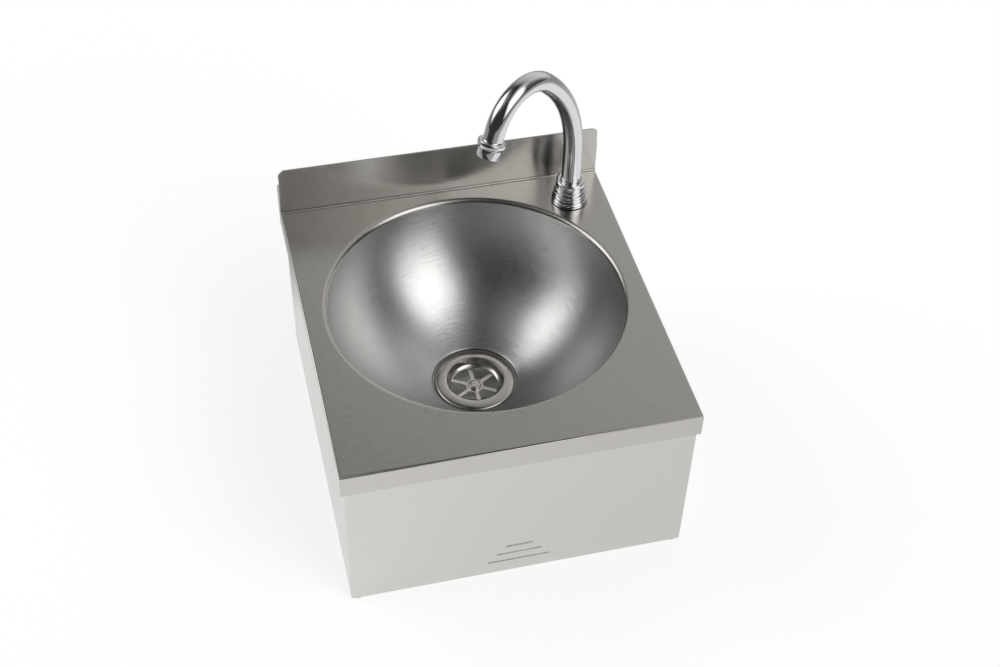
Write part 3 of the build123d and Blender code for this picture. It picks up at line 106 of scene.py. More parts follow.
class Wire:
    """A socket that takes part in Python arithmetic, one Math node an operation."""

    def __init__(self, tree, socket):
        self.tree = tree
        self.socket = socket

    def math(self, operation, first, second=None, clamp=False):
        node = self.tree.nodes.new("ShaderNodeMath")
        node.operation = operation
        node.use_clamp = clamp
        for slot, value in zip(node.inputs, (first, second)):
            if isinstance(value, Wire):
                self.tree.links.new(value.socket, slot)
            elif value is not None:
                slot.default_value = value
        return Wire(self.tree, node.outputs[0])

    def __add__(self, other):
        return self.math("ADD", self, other)

    def __sub__(self, other):
        return self.math("SUBTRACT", self, other)

    def __mul__(self, other):
        return self.math("MULTIPLY", self, other)

    def __truediv__(self, other):
        return self.math("DIVIDE", self, other)

    def __radd__(self, other):
        return self.math("ADD", other, self)

    def __rsub__(self, other):
        return self.math("SUBTRACT", other, self)

    def __rmul__(self, other):
        return self.math("MULTIPLY", other, self)

    def __rtruediv__(self, other):
        return self.math("DIVIDE", other, self)

    def __abs__(self):
        return self.math("ABSOLUTE", self)

    def root(self):
        return self.math("SQRT", self)

    def at_least(self, other):
        return self.math("MAXIMUM", self, other)

    def limited(self):
        return self.math("ADD", self, 0.0, clamp=True)


class Finish:
    """The node tree of one material or world."""

    def __init__(self, owner):
        owner.use_nodes = True
        self.tree = owner.node_tree
        self.tree.nodes.clear()

    def node(self, kind, settings=None, **values):
        """Add a node. Settings come first, then a value or a wire for each socket."""
        made = self.tree.nodes.new(kind)
        for name, value in (settings or {}).items():
            setattr(made, name, value)
        for name, value in values.items():
            key = int(name[1:]) if name[1:].isdigit() else name.replace("_", " ")
            if isinstance(value, Wire):
                self.tree.links.new(value.socket, made.inputs[key])
            else:
                made.inputs[key].default_value = value
        return made

    def wire(self, kind, settings=None, output=0, **values):
        made = self.node(kind, settings, **values)
        return Wire(self.tree, made.outputs[output])

    def parts(self, vector):
        """The x, y and z of a vector."""
        split = self.node("ShaderNodeSeparateXYZ", Vector=vector)
        return [Wire(self.tree, output) for output in split.outputs]

    def place(self, shift=(0, 0, 0)):
        """Object coordinates, moved."""
        object_place = self.wire("ShaderNodeTexCoord", output="Object")
        return self.wire("ShaderNodeMapping", Vector=object_place, Location=shift)

    def noise(self, vector, scale, detail=2.0, roughness=0.5):
        """A noise value from about 0.2 to 0.8."""
        return self.wire(
            "ShaderNodeTexNoise", Vector=vector, Scale=scale, Detail=detail, Roughness=roughness
        )

    def toned(self, share, colour, darkest, lightest=1.0):
        """A colour between a darker and a lighter tone of itself."""
        dark, light = (
            (*(min(channel * tone, 1.0) for channel in colour), 1) for tone in (darkest, lightest)
        )
        return self.wire(
            "ShaderNodeMix", {"data_type": "RGBA"}, output=2, _0=share, _6=dark, _7=light
        )

    def bump(self, height, distance):
        return self.wire("ShaderNodeBump", Height=height, Distance=distance, Strength=1.0)

    def grooved(self, x, y, z):
        """The surface's normal, tipped by a small vector, as the flanks of fine lines tip it."""
        flat = self.wire("ShaderNodeNewGeometry", output="Normal")
        push = self.wire("ShaderNodeCombineXYZ", X=x, Y=y, Z=z)
        tipped = self.wire("ShaderNodeVectorMath", {"operation": "ADD"}, _0=flat, _1=push)
        return self.wire("ShaderNodeVectorMath", {"operation": "NORMALIZE"}, _0=tipped)

    def surface(self, base, roughness, normal, metallic=1.0):
        """Close the material with its one shader."""
        shader = self.wire(
            "ShaderNodeBsdfPrincipled", Base_Color=base, Metallic=metallic, Roughness=roughness,
            Normal=normal,
        )
        self.node("ShaderNodeOutputMaterial", Surface=shader)


# Mesh helpers

def only(kind, parts):
    """The vertices, edges or faces among the parts that an operator gives back."""
    return [part for part in parts if isinstance(part, kind)]


def ends(edges):
    """The vertices of edges, each once."""
    return list(dict.fromkeys(vert for edge in edges for vert in edge.verts))


def scaled_cube(bm, middle, size, turn=Matrix.Identity(4)):
    bmesh.ops.create_cube(
        bm, size=1.0, matrix=Matrix.Translation(middle) @ turn @ Matrix.Diagonal((*size, 1))
    )


def turned(outline, place, axis=UP, steps=96, rounds=None, closed=True):
    """Turn (radius, height) points about an axis. Rounds has cuts by point number, all in mm."""
    bm = bmesh.new()
    side = axis.cross(UP if abs(axis.z) < 0.9 else ACROSS).normalized()
    corners = [
        bm.verts.new(place + side * (radius * MM) + axis * (height * MM))
        for radius, height in outline
    ]
    pairs = list(zip(corners, corners[1:]))
    if closed:
        pairs.append((corners[-1], corners[0]))
    for pair in pairs:
        bm.edges.new(pair)
    for corner, cut in (rounds or {}).items():
        bmesh.ops.bevel(
            bm, geom=[corners[corner]], offset=cut * MM, offset_type="OFFSET",
            segments=ROUND_STEPS, profile=0.5, affect="VERTICES", material=-1,
        )
    bmesh.ops.spin(
        bm, geom=bm.verts[:] + bm.edges[:], cent=place, axis=axis, angle=FULL, steps=steps,
        use_merge=True, use_duplicate=False,
    )
    bmesh.ops.remove_doubles(bm, verts=bm.verts, dist=MERGED)
    bmesh.ops.recalc_face_normals(bm, faces=bm.faces)
    return bm


def in_scene(name, bm):
    """An object in the scene, made of a bmesh that is used up."""
    mesh = bpy.data.meshes.new(name)
    bm.to_mesh(mesh)
    bm.free()
    made = bpy.data.objects.new(name, mesh)
    bpy.context.scene.collection.objects.link(made)
    return made


def finished(name, bm, body, slot, nodes, sharp=32.0, finish=None):
    """Make a shown piece of a bmesh. It stands for the CAD nodes named."""
    materials = finishes(bpy.context)
    bm.normal_update()
    for face in bm.faces:
        face.smooth = True
    for edge in bm.edges:
        edge.smooth = len(edge.link_faces) == 2 and edge.calc_face_angle() < radians(sharp)
    piece = in_scene(name, bm)
    piece.data.materials.append(bpy.data.materials[finish] if finish else materials[slot])
    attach(piece, body)
    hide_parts(*nodes)
    return piece


def turned_piece(name, body, slot, node, outline, place, cutter=None, sharp=32.0, **turning):
    """A turned piece, less what a cutter takes away."""
    bm = turned(outline, place, **turning)
    if cutter:
        bm = cut_away(bm, cutter)
    return finished(name, bm, body, slot, [node], sharp=sharp)


def steady(piece):
    """Let the large faces of a piece set its shading."""
    weights = piece.modifiers.new("Steady shading", "WEIGHTED_NORMAL")
    weights.keep_sharp = True
    weights.weight = 50


def walled(piece, thickness, folded=True):
    """Give an outer skin its thickness, inwards, and steady its shading."""
    wall = piece.modifiers.new("Wall", "SOLIDIFY")
    wall.thickness = thickness
    wall.offset = -1
    wall.use_even_offset = folded
    wall.use_quality_normals = folded
    steady(piece)


def cut_away(bm, cutter):
    """Take a closed cutter out of a closed bmesh. Both are used up, and what is left is new."""
    body, tool = in_scene("Body being cut", bm), in_scene("Cutter", cutter)
    cut = body.modifiers.new("Cut", "BOOLEAN")
    cut.operation = "DIFFERENCE"
    cut.solver = "EXACT"
    cut.object = tool
    bpy.context.view_layer.update()
    shape = body.evaluated_get(bpy.context.evaluated_depsgraph_get())
    result = bpy.data.meshes.new_from_object(shape)
    left = bmesh.new()
    left.from_mesh(result)
    meshes = [result, body.data, tool.data]
    for helper in (body, tool):
        bpy.data.objects.remove(helper)
    for mesh in meshes:
        bpy.data.meshes.remove(mesh)
    return left


def rounded_edges(bm, edges, cut, segments=ROUND_STEPS):
    bmesh.ops.bevel(
        bm, geom=edges, offset=cut, offset_type="OFFSET", segments=segments, profile=0.5,
        affect="EDGES", material=-1,
    )


def folds_where(bm, test):
    """Sharp edges between two faces whose ends both pass a test on their place."""
    return [
        edge for edge in bm.edges
        if len(edge.link_faces) == 2 and edge.calc_face_angle() > SHARP_FOLD
        and all(test(vert.co) for vert in edge.verts)
    ]


def face_of(bm, points):
    """One face through points in mm, sharing corners that are there already."""
    corners = []
    for point in points:
        place = Vector(point) * MM
        known = [vert for vert in bm.verts if (vert.co - place).length < SAME_PLACE]
        corners.append(known[0] if known else bm.verts.new(place))
    return bm.faces.new(corners)


def holed_face(bm, face, loops):
    """Replace a flat face by one with holes along closed loops of edges."""
    outer = list(face.edges)
    normal = face.normal.copy()
    bmesh.ops.delete(bm, geom=[face], context="FACES_ONLY")
    made = bmesh.ops.triangle_fill(
        bm, use_beauty=True, use_dissolve=False, edges=outer + loops, normal=normal
    )
    for part in only(bmesh.types.BMFace, made["geom"]):
        if part.normal.dot(normal) < 0:
            part.normal_flip()


def circle_edges(bm, place, radius, steps, axis=UP):
    turn = axis.to_track_quat("Z", "Y").to_matrix().to_4x4()
    made = bmesh.ops.create_circle(
        bm, cap_ends=False, radius=radius, segments=steps, matrix=Matrix.Translation(place) @ turn
    )
    return list(dict.fromkeys(edge for vert in made["verts"] for edge in vert.link_edges))


def pulled(bm, edges, way):
    """Draw edges out to a new wall, and give its far edges."""
    made = bmesh.ops.extrude_edge_only(bm, edges=edges)["geom"]
    bmesh.ops.translate(bm, verts=only(bmesh.types.BMVert, made), vec=way)
    return only(bmesh.types.BMEdge, made)


def drawn_ring(bm, edges, middle, outline):
    """Draw a round edge loop through (radius, height) steps about an upright axis."""
    for radius, height in outline:
        edges = pulled(bm, edges, Vector())
        for vert in ends(edges):
            flat = Vector((vert.co.x - middle.x, vert.co.y - middle.y, 0)).normalized()
            vert.co = Vector((middle.x, middle.y, height)) + flat * radius


# Sizes and colours that a user would change

def length(name, description, default):
    return FloatProperty(
        name=name, description=description, default=default, unit="LENGTH", precision=4
    )


def angle(name, description, default):
    return FloatProperty(name=name, description=description, default=radians(default), subtype="ANGLE")


def colour(name, description, default):
    return FloatVectorProperty(
        name=name, description=description, default=default, subtype="COLOR", size=3, min=0, max=1
    )


def share(name, description, default):
    return FloatProperty(
        name=name, description=description, default=default, subtype="FACTOR", min=0, max=1
    )


class SheetSettings(bpy.types.PropertyGroup):
    """Worktop, bowl and skirt."""

    thickness: length("Sheet", "Thickness of the steel sheet", 1.0 * MM)
    fold: length("Fold", "Radius of the fold round the worktop", 2.0 * MM)
    lip: length("Lip", "Height of the lip round the worktop", 25.0 * MM)
    upstand_out: length("Upstand", "Distance of the upstand from the wall", 18.0 * MM)
    upstand_fold: length("Inner fold", "Radius of the fold under the upstand", 3.0 * MM)
    corner_cut: length("Corner cut", "Size of the cut corners of the upstand", 5.0 * MM)
    hem: length("Hem", "Height of the upstand's folded back edge", 12.0 * MM)
    rim_radius: length("Rim", "Radius at which the worktop rolls into the bowl", 152.0 * MM)
    bowl_ball: length("Bowl ball", "Radius of the ball that the bowl is part of", 149.56 * MM)
    bowl_ball_height: length("Ball height", "Height of the ball's centre", 104.38 * MM)
    rim_steps: IntProperty(
        name="Rim steps", description="Straight runs round the rim", default=256, min=48
    )


class TapSettings(bpy.types.PropertyGroup):
    """Tap and spout."""

    tube: length("Tube", "Radius of the spout's tube", 10.0 * MM)
    tube_wall: length("Tube wall", "Thickness of the tube's wall", 1.2 * MM)
    leg: length("Leg", "Height above the worktop at which the tube starts to bend", 64.0 * MM)
    wide_bend: length("Wide bend", "Radius of the first bend", 153.0 * MM)
    wide_turn: angle("Wide turn", "Turn of the first bend", 49.0)
    tight_bend: length("Tight bend", "Radius of the second bend", 44.0 * MM)
    tight_turn: angle("Tight turn", "Turn of the second bend", 108.5)
    end_run: length("End run", "Straight run before the outlet", 15.0 * MM)
    heading: angle("Heading", "Direction of the spout seen from above", 215.0)


class FinishSettings(bpy.types.PropertyGroup):
    """Colours of the finishes."""

    steel: colour("Steel", "Colour of the brushed sheet", (0.575, 0.56, 0.535))
    skirt: colour("Skirt", "Colour of the skirt's satin sheet", (0.66, 0.65, 0.625))
    bowl: colour("Bowl", "Colour of the spun bowl", (0.69, 0.69, 0.685))
    chrome: colour("Chrome", "Colour of the chrome plate", (0.80, 0.80, 0.82))
    steel_roughness: share("Steel roughness", "Roughness of the brushed sheet", 0.20)
    bowl_roughness: share("Bowl roughness", "Roughness of the bowl", 0.28)


class StageSettings(bpy.types.PropertyGroup):
    """Camera and studio."""

    lens: FloatProperty(name="Lens", description="Focal length in millimetres", default=55.749)
    camera_place: FloatVectorProperty(
        name="Camera", description="Place of the camera", default=(-0.258624, -1.244970, 1.149366),
        subtype="TRANSLATION", precision=6,
    )
    camera_azimuth: angle("Azimuth", "Turn of the camera's view from +Y towards +X", 14.980)
    camera_drop: angle("Drop", "How far the camera looks down", 45.677)
    camera_roll: angle("Roll", "Roll of the camera", 1.797)
    floor_gap: length("Floor gap", "Gap between the floor and the object", 0.5 * MM)


# Materials

def steel(name, colour, roughness, grain, stretch, flank):
    """Brushed or satin steel. Grain is the pitch across the lines, stretch how long they are."""
    line_tint, line_dull = 0.16, 0.10
    cloud_scale, cloud_tint, cloud_dull = 14.0, 0.10, 0.08
    darkest, lightest = 0.92, 1.06
    paint = Finish(bpy.data.materials.new(name))
    x, y, z = paint.parts(paint.wire("ShaderNodeTexCoord", output="Object"))
    facing = paint.parts(paint.wire("ShaderNodeTexCoord", output="Normal"))[0]
    # one on faces that look left or right, where the lines run from front to back
    side = ((abs(facing) - 0.5) * 10.0).limited()
    fine = paint.wire(
        "ShaderNodeCombineXYZ", X=(x + (y - x) * side) / (grain * stretch),
        Y=(y - y * side) / grain, Z=z / grain,
    )
    lines = paint.noise(fine, 1.0, detail=3.0, roughness=0.6) - 0.5
    cloud = paint.noise(paint.place(), cloud_scale, detail=3.0) - 0.5
    tint = lines * line_tint + cloud * cloud_tint + 0.5
    tilt = lines * flank
    paint.surface(
        paint.toned(tint.limited(), colour, darkest, lightest),
        roughness + lines * line_dull + cloud * cloud_dull,
        paint.grooved(0.0, tilt - tilt * side, tilt),
    )


def spun_steel(name, colour, roughness, pitch, flank):
    """Satin steel with fine rings about the bowl's axis."""
    ring_tint, ring_dull, ring_change = 0.2, 0.08, 60.0
    cloud_scale, cloud_tint, cloud_dull = 12.0, 0.12, 0.03
    darkest, lightest = 0.93, 1.05
    paint = Finish(bpy.data.materials.new(name))
    x, y, z = paint.parts(paint.place(shift=tuple(-BOWL_AXIS)))
    reach = (x * x + y * y).root()
    # the height is added so that the rings go on down the steep wall of the bowl
    along = paint.wire(
        "ShaderNodeCombineXYZ", X=(reach + z) / pitch, Y=x * ring_change, Z=y * ring_change
    )
    rings = paint.noise(along, 1.0, detail=3.0, roughness=0.6) - 0.5
    cloud = paint.noise(paint.place(), cloud_scale, detail=3.0) - 0.5
    tint = rings * ring_tint + cloud * cloud_tint + 0.5
    tilt = rings * flank
    reach = reach.at_least(MM)
    paint.surface(
        paint.toned(tint.limited(), colour, darkest, lightest),
        roughness + rings * ring_dull + cloud * cloud_dull,
        paint.grooved(tilt * x / reach, tilt * y / reach, tilt),
    )


def plated(name, colour, roughness, smudge):
    """Bright plate or machined metal with faint smudges."""
    smudge_scale, clean_share, darkest = 60.0, 0.4, 0.94
    speck_scale, speck_height = 900.0, 0.0006 * MM
    paint = Finish(bpy.data.materials.new(name))
    cloud = paint.noise(paint.place(), smudge_scale, detail=4.0)
    specks = paint.noise(paint.place(), speck_scale, detail=1.0)
    paint.surface(
        paint.toned(cloud, colour, darkest),
        roughness + (cloud - clean_share).at_least(0.0) * smudge,
        paint.bump(specks, speck_height),
    )


def moulded(name, colour, roughness, grain, relief):
    """Moulded plastic or rubber with a fine texture."""
    cloud_scale, cloud_dull, darkest = 25.0, 0.15, 0.85
    paint = Finish(bpy.data.materials.new(name))
    cloud = paint.noise(paint.place(), cloud_scale, detail=3.0)
    texture = paint.noise(paint.place(), 1 / grain, detail=2.0)
    paint.surface(
        paint.toned(cloud, colour, darkest), roughness + (cloud - 0.5) * cloud_dull,
        paint.bump(texture, relief), metallic=0.0,
    )


SKIRT_FINISH = "Satin sheet"
FINISHES = {
    "brushed_steel": "Brushed sheet", "satin_steel": "Spun bowl", "polished_steel": "Polished waste",
    "plain_steel": "Plain steel", "spring_steel": "Spring wire", "chrome": "Chrome plate",
    "brass": "Machined brass", "nylon": "Moulded nylon", "rubber": "Black rubber",
    "waste_plastic": "Waste plastic",
}


def finishes(context):
    """Materials by the record's slot names, made once."""
    settings = context.scene.sink_finish
    if SKIRT_FINISH not in bpy.data.materials:
        brushing = {"grain": 0.08 * MM, "stretch": 150}
        steel("Brushed sheet", settings.steel, settings.steel_roughness, flank=0.6, **brushing)
        steel(SKIRT_FINISH, settings.skirt, 0.24, flank=0.5, **brushing)
        steel("Plain steel", (0.56, 0.56, 0.55), 0.34, grain=0.4 * MM, stretch=12, flank=0.2)
        spun_steel("Spun bowl", settings.bowl, settings.bowl_roughness, pitch=0.05 * MM, flank=0.85)
        spun_steel("Polished waste", (0.66, 0.64, 0.61), 0.12, pitch=0.4 * MM, flank=0.3)
        plated("Spring wire", (0.50, 0.50, 0.50), 0.25, smudge=0.3)
        plated("Chrome plate", settings.chrome, 0.045, smudge=0.05)
        plated("Machined brass", (0.74, 0.55, 0.27), 0.24, smudge=0.35)
        moulded("Moulded nylon", (0.84, 0.84, 0.80), 0.42, grain=0.6 * MM, relief=0.02 * MM)
        moulded("Black rubber", (0.05, 0.05, 0.05), 0.62, grain=0.5 * MM, relief=0.03 * MM)
        moulded("Waste plastic", (0.86, 0.86, 0.85), 0.38, grain=0.8 * MM, relief=0.02 * MM)
    return {slot: bpy.data.materials[name] for slot, name in FINISHES.items()}


class CarriedNodes(bpy.types.Operator):
    """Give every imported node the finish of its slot"""

    bl_idname = "sink.carried_nodes"
    bl_label = "Packed nodes"

    def execute(self, context):
        made = finishes(context)
        for row in frame["record"]["subparts"]:
            node = frame["nodes"][row["node"]]
            node.data.materials.clear()
            node.data.materials.append(made[row["material_slot"]])
        return {"FINISHED"}


# Worktop

def worktop_skin(settings):
    """Outer skin of the worktop, open below and at the back."""
    return_step, return_slope = 17.0, 15.0
    low, high = WORKTOP_LOW / MM, WORKTOP_HIGH / MM
    deck = DECK / MM
    face_y = -settings.upstand_out / MM
    foot = deck - settings.lip / MM
    return_top = high.z - return_step
    return_foot = return_top - return_slope
    inner = high.x - settings.thickness / MM
    bm = bmesh.new()
    top = face_of(bm, [
        (low.x, low.y, deck), (high.x, low.y, deck), (high.x, face_y, deck), (low.x, face_y, deck),
    ])
    face_of(bm, [
        (low.x, low.y, foot), (high.x, low.y, foot), (high.x, low.y, deck), (low.x, low.y, deck),
    ])
    face_of(bm, [
        (low.x, face_y, deck), (high.x, face_y, deck), (high.x, face_y, return_top),
        (inner, face_y, return_top), (inner, face_y, high.z), (-inner, face_y, high.z),
        (-inner, face_y, return_top), (low.x, face_y, return_top),
    ])
    for x, turn in ((low.x, 1), (high.x, -1)):
        face_of(bm, [
            (x, low.y, deck), (x, low.y, foot), (x, face_y, foot), (x, face_y, deck),
        ][::turn])
        face_of(bm, [
            (x, face_y, deck), (x, face_y, foot), (x, 0, foot), (x, 0, return_foot),
            (x, face_y, return_top),
        ][::turn])
    bmesh.ops.recalc_face_normals(bm, faces=bm.faces)
    if top.normal.z < 0:
        bmesh.ops.reverse_faces(bm, faces=bm.faces)
    return bm


def rim_roll(settings):
    """Radius of the roll that meets the ball of the bowl on a common tangent."""
    lift = settings.bowl_ball_height - DECK
    reach, ball = settings.rim_radius, settings.bowl_ball
    return (reach**2 + lift**2 - ball**2) / (2 * (ball - lift))


class Worktop(bpy.types.Operator):
    """Worktop with its lips, upstand and rolled rim"""

    bl_idname = "sink.worktop"
    bl_label = "Worktop"

    def execute(self, context):
        settings = context.scene.sink_sheet
        bm = worktop_skin(settings)
        self.folds(bm, settings)
        self.openings(bm, settings)
        worktop = finished("Worktop", bm, "root", "brushed_steel", ["worktop"], sharp=50)
        walled(worktop, settings.thickness)
        self.hem(settings)
        return {"FINISHED"}

    def folds(self, bm, settings):
        """Round the folds, and cut the upstand's corners."""
        side_fold, side_steps = 0.8 * MM, 3
        left_steps, right_steps = 1, 6
        face_y = -settings.upstand_out
        low, high = WORKTOP_LOW, WORKTOP_HIGH

        def on(value, target):
            return abs(value - target) < SAME_LEVEL

        def deck_edge(co):
            return on(co.z, DECK) and co.y < face_y + SAME_LEVEL and (
                on(co.x, low.x) or on(co.x, high.x) or on(co.y, low.y)
            )

        rounded_edges(bm, [
            edge for edge in folds_where(bm, deck_edge)
            if not all(on(vert.co.y, face_y) for vert in edge.verts)
        ], settings.fold)
        rounded_edges(
            bm, folds_where(bm, lambda co: on(co.y, face_y) and on(co.z, DECK)), settings.upstand_fold
        )
        rounded_edges(
            bm, folds_where(bm, lambda co: co.z > DECK + SAME_LEVEL), side_fold, side_steps
        )
        # the left corner is cut straight, and the right one is rounded
        for side, steps in ((-1, left_steps), (1, right_steps)):
            top = max(vert.co.z for vert in bm.verts) - SAME_PLACE
            corner = max(
                (vert for vert in bm.verts if vert.co.z > top), key=lambda vert: vert.co.x * side
            )
            bmesh.ops.bevel(
                bm, geom=[corner], offset=settings.corner_cut, offset_type="OFFSET",
                segments=steps, profile=0.5, affect="VERTICES", material=-1,
            )

    def openings(self, bm, settings):
        """Open the deck for the tap and the bowl, and roll the rim down to the bowl."""
        tap_hole, tap_steps, roll_steps = 11.0 * MM, 48, 10
        deck = max(
            (face for face in bm.faces if abs(face.calc_center_median().z - DECK) < SAME_LEVEL),
            key=lambda face: face.calc_area(),
        )
        lift = UP * DECK
        rim = circle_edges(bm, BOWL_AXIS + lift, settings.rim_radius, settings.rim_steps)
        tap = circle_edges(bm, TAP_AXIS + lift, tap_hole, tap_steps)
        holed_face(bm, deck, rim + tap)
        roll = rim_roll(settings)
        ball_height = settings.bowl_ball_height - DECK
        last = QUARTER - asin((ball_height + roll) / (settings.bowl_ball + roll))
        turns = [last * step / roll_steps for step in range(1, roll_steps + 1)]
        drawn_ring(bm, rim, BOWL_AXIS, [
            (settings.rim_radius - roll * sin(turn), DECK - roll + roll * cos(turn))
            for turn in turns
        ])

    def hem(self, settings):
        """Edge of the upstand folded back on itself."""
        half = WORKTOP_HIGH.x - settings.thickness - settings.corner_cut
        wall = settings.thickness
        gap, rounding = 0.1 * wall, 0.7 * wall
        middle_y = -settings.upstand_out + wall + gap + (wall - gap) / 2
        top = WORKTOP_HIGH.z
        bm = bmesh.new()
        scaled_cube(
            bm, (0, middle_y, top - settings.hem / 2), (2 * half, wall - gap, settings.hem)
        )
        rounded_edges(bm, folds_where(
            bm, lambda co: co.z > top - settings.hem + SAME_LEVEL and co.y > middle_y
        ), rounding)
        steady(finished("Upstand_hem", bm, "root", "brushed_steel", ["worktop"], sharp=50))


class Bowl(bpy.types.Operator):
    """Spun bowl with the recess of its waste"""

    bl_idname = "sink.bowl"
    bl_label = "Bowl"

    def execute(self, context):
        settings = context.scene.sink_sheet
        recess, seat, hole = 44.0, -41.0, 30.5
        inner_rounding, outer_rounding = 0.8, 0.6
        steps = 40
        ball, height = settings.bowl_ball / MM, settings.bowl_ball_height / MM
        wall = settings.thickness / MM
        first = asin(settings.rim_radius / (settings.bowl_ball + rim_roll(settings)))
        last = asin(recess / ball)
        turns = [first + (last - first) * step / steps for step in range(steps + 1)]
        inner, outer = (
            [(radius * sin(turn), height - radius * cos(turn)) for turn in turns]
            for radius in (ball, ball + wall)
        )
        outline = inner + [
            (recess, seat), (hole, seat), (hole, seat - wall), (recess + wall, seat - wall),
        ] + outer[::-1]
        turned_piece(
            "Bowl", "root", "satin_steel", "bowl", outline, BOWL_AXIS, sharp=40,
            steps=settings.rim_steps,
            rounds={len(inner) - 1: inner_rounding, len(inner): outer_rounding},
        )
        return {"FINISHED"}


# Knee skirt

class Skirt(bpy.types.Operator):
    """Knee skirt: front and sides in one sheet, with three pressed ribs"""

    bl_idname = "sink.skirt"
    bl_label = "Knee skirt"

    face_y, side_top = -378.0, 60.0
    ear_depth, ear_slope = 23.0, 10.0

    def execute(self, context):
        fold = 1.8 * MM
        bm = self.sheet()
        self.flanges(bm)
        bmesh.ops.remove_doubles(bm, verts=bm.verts, dist=MERGED)
        rounded_edges(bm, folds_where(bm, lambda co: True), fold)
        self.ribs(bm)
        piece = finished(
            "Knee_skirt", bm, "skirt", "brushed_steel", ["knee_skirt"], sharp=50, finish=SKIRT_FINISH
        )
        walled(piece, context.scene.sink_sheet.thickness)
        return {"FINISHED"}

    def sheet(self):
        """Front and sides, with an ear at each front corner and a step in the front's top."""
        step = 2.0
        low, high, face_y = SKIRT_LOW / MM, SKIRT_HIGH / MM, self.face_y
        front_top, notch = high.z - step, high.x - step
        ear_back = face_y + self.ear_depth
        bm = bmesh.new()
        front = face_of(bm, [
            (low.x, face_y, low.z), (high.x, face_y, low.z), (high.x, face_y, high.z),
            (notch, face_y, high.z), (notch, face_y, front_top),
            (-notch, face_y, front_top), (-notch, face_y, high.z), (low.x, face_y, high.z),
        ])
        for x in (low.x, high.x):
            face_of(bm, [
                (x, face_y, low.z), (x, face_y, high.z), (x, ear_back, high.z),
                (x, ear_back + self.ear_slope, self.side_top),
                (x, ear_back + 2 * self.ear_slope, self.side_top),
                (x, high.y, self.side_top), (x, high.y, low.z),
            ])
        bmesh.ops.recalc_face_normals(bm, faces=bm.faces)
        if front.normal.y > 0:
            bmesh.ops.reverse_faces(bm, faces=bm.faces)
        return bm

    def flanges(self, bm):
        """Flanges along the tops of the sides, and round the bottom."""
        side_flange, front_flange = 9, 13
        low, high, near = SKIRT_LOW / MM, SKIRT_HIGH / MM, SAME_LEVEL / MM
        behind_ear = self.face_y + self.ear_depth + 1.5 * self.ear_slope

        def flange(test, way):
            pulled(bm, [
                edge for edge in bm.edges if len(edge.link_faces) == 1
                and all(test(vert.co / MM) for vert in edge.verts)
            ], Vector(way) * MM)

        for inwards, x in ((1, low.x), (-1, high.x)):
            way = (inwards * side_flange, 0, 0)
            flange(
                lambda co: abs(co.x - x) < near and abs(co.z - self.side_top) < near
                and co.y > behind_ear, way,
            )
            flange(lambda co: abs(co.x - x) < near and abs(co.z - low.z) < near, way)
        flange(
            lambda co: abs(co.y - self.face_y) < near and abs(co.z - low.z) < near
            and abs(abs(co.x) - high.x) < near, (0, front_flange, 0),
        )

    def ribs(self, bm):
        """Three plain ribs pressed outwards in the front, each shorter than the one below."""
        longest, shorter_by, half_width = 66.0, 18.0, 2.5
        lowest, pitch, count = 17.0, 11.0, 3
        rise, shoulder, steps, end_steps = 0.9 * MM, 1.6 * MM, 6, 32
        panel = max(
            (face for face in bm.faces if abs(face.normal.y) > 0.99),
            key=lambda face: face.calc_area(),
        )
        ribs = []
        for index in range(count):
            half = (longest - shorter_by * index) / 2 * MM - half_width * MM
            height = SKIRT_LOW.z / MM + lowest + pitch * index
            place = Vector((0, self.face_y * MM, height * MM))
            edges = circle_edges(bm, place, half_width * MM, end_steps, axis=OUT)
            for vert in ends(edges):
                if abs(vert.co.x) > SAME_PLACE:
                    vert.co.x += half if vert.co.x > 0 else -half
            ribs.append(edges)
        holed_face(bm, panel, [edge for edges in ribs for edge in edges])
        for edges in ribs:
            face = bmesh.ops.contextual_create(bm, geom=edges)["faces"][0]
            face.normal_update()
            if face.normal.y > 0:
                face.normal_flip()
            for step in range(steps):
                before, after = (sin(QUARTER * part / steps) ** 2 for part in (step, step + 1))
                bmesh.ops.inset_individual(
                    bm, faces=[face], thickness=shoulder / steps, depth=rise * (after - before)
                )


# Tap

def spout_places(settings):
    """The spout's direction, the bends' centres, the end of the tube and its direction."""
    side = Vector((cos(settings.heading), sin(settings.heading), 0))
    foot = TAP_AXIS + UP * DECK
    wide, tight = settings.wide_bend, settings.tight_bend
    first_centre = foot + side * wide + UP * settings.leg
    joint = first_centre - side * wide * cos(settings.wide_turn) + UP * wide * sin(settings.wide_turn)
    second_centre = joint + (first_centre - joint).normalized() * tight
    full = settings.wide_turn + settings.tight_turn
    bend_end = second_centre - side * tight * cos(full) + UP * tight * sin(full)
    along = side * sin(full) + UP * cos(full)
    return side, first_centre, second_centre, bend_end + along * settings.end_run, along


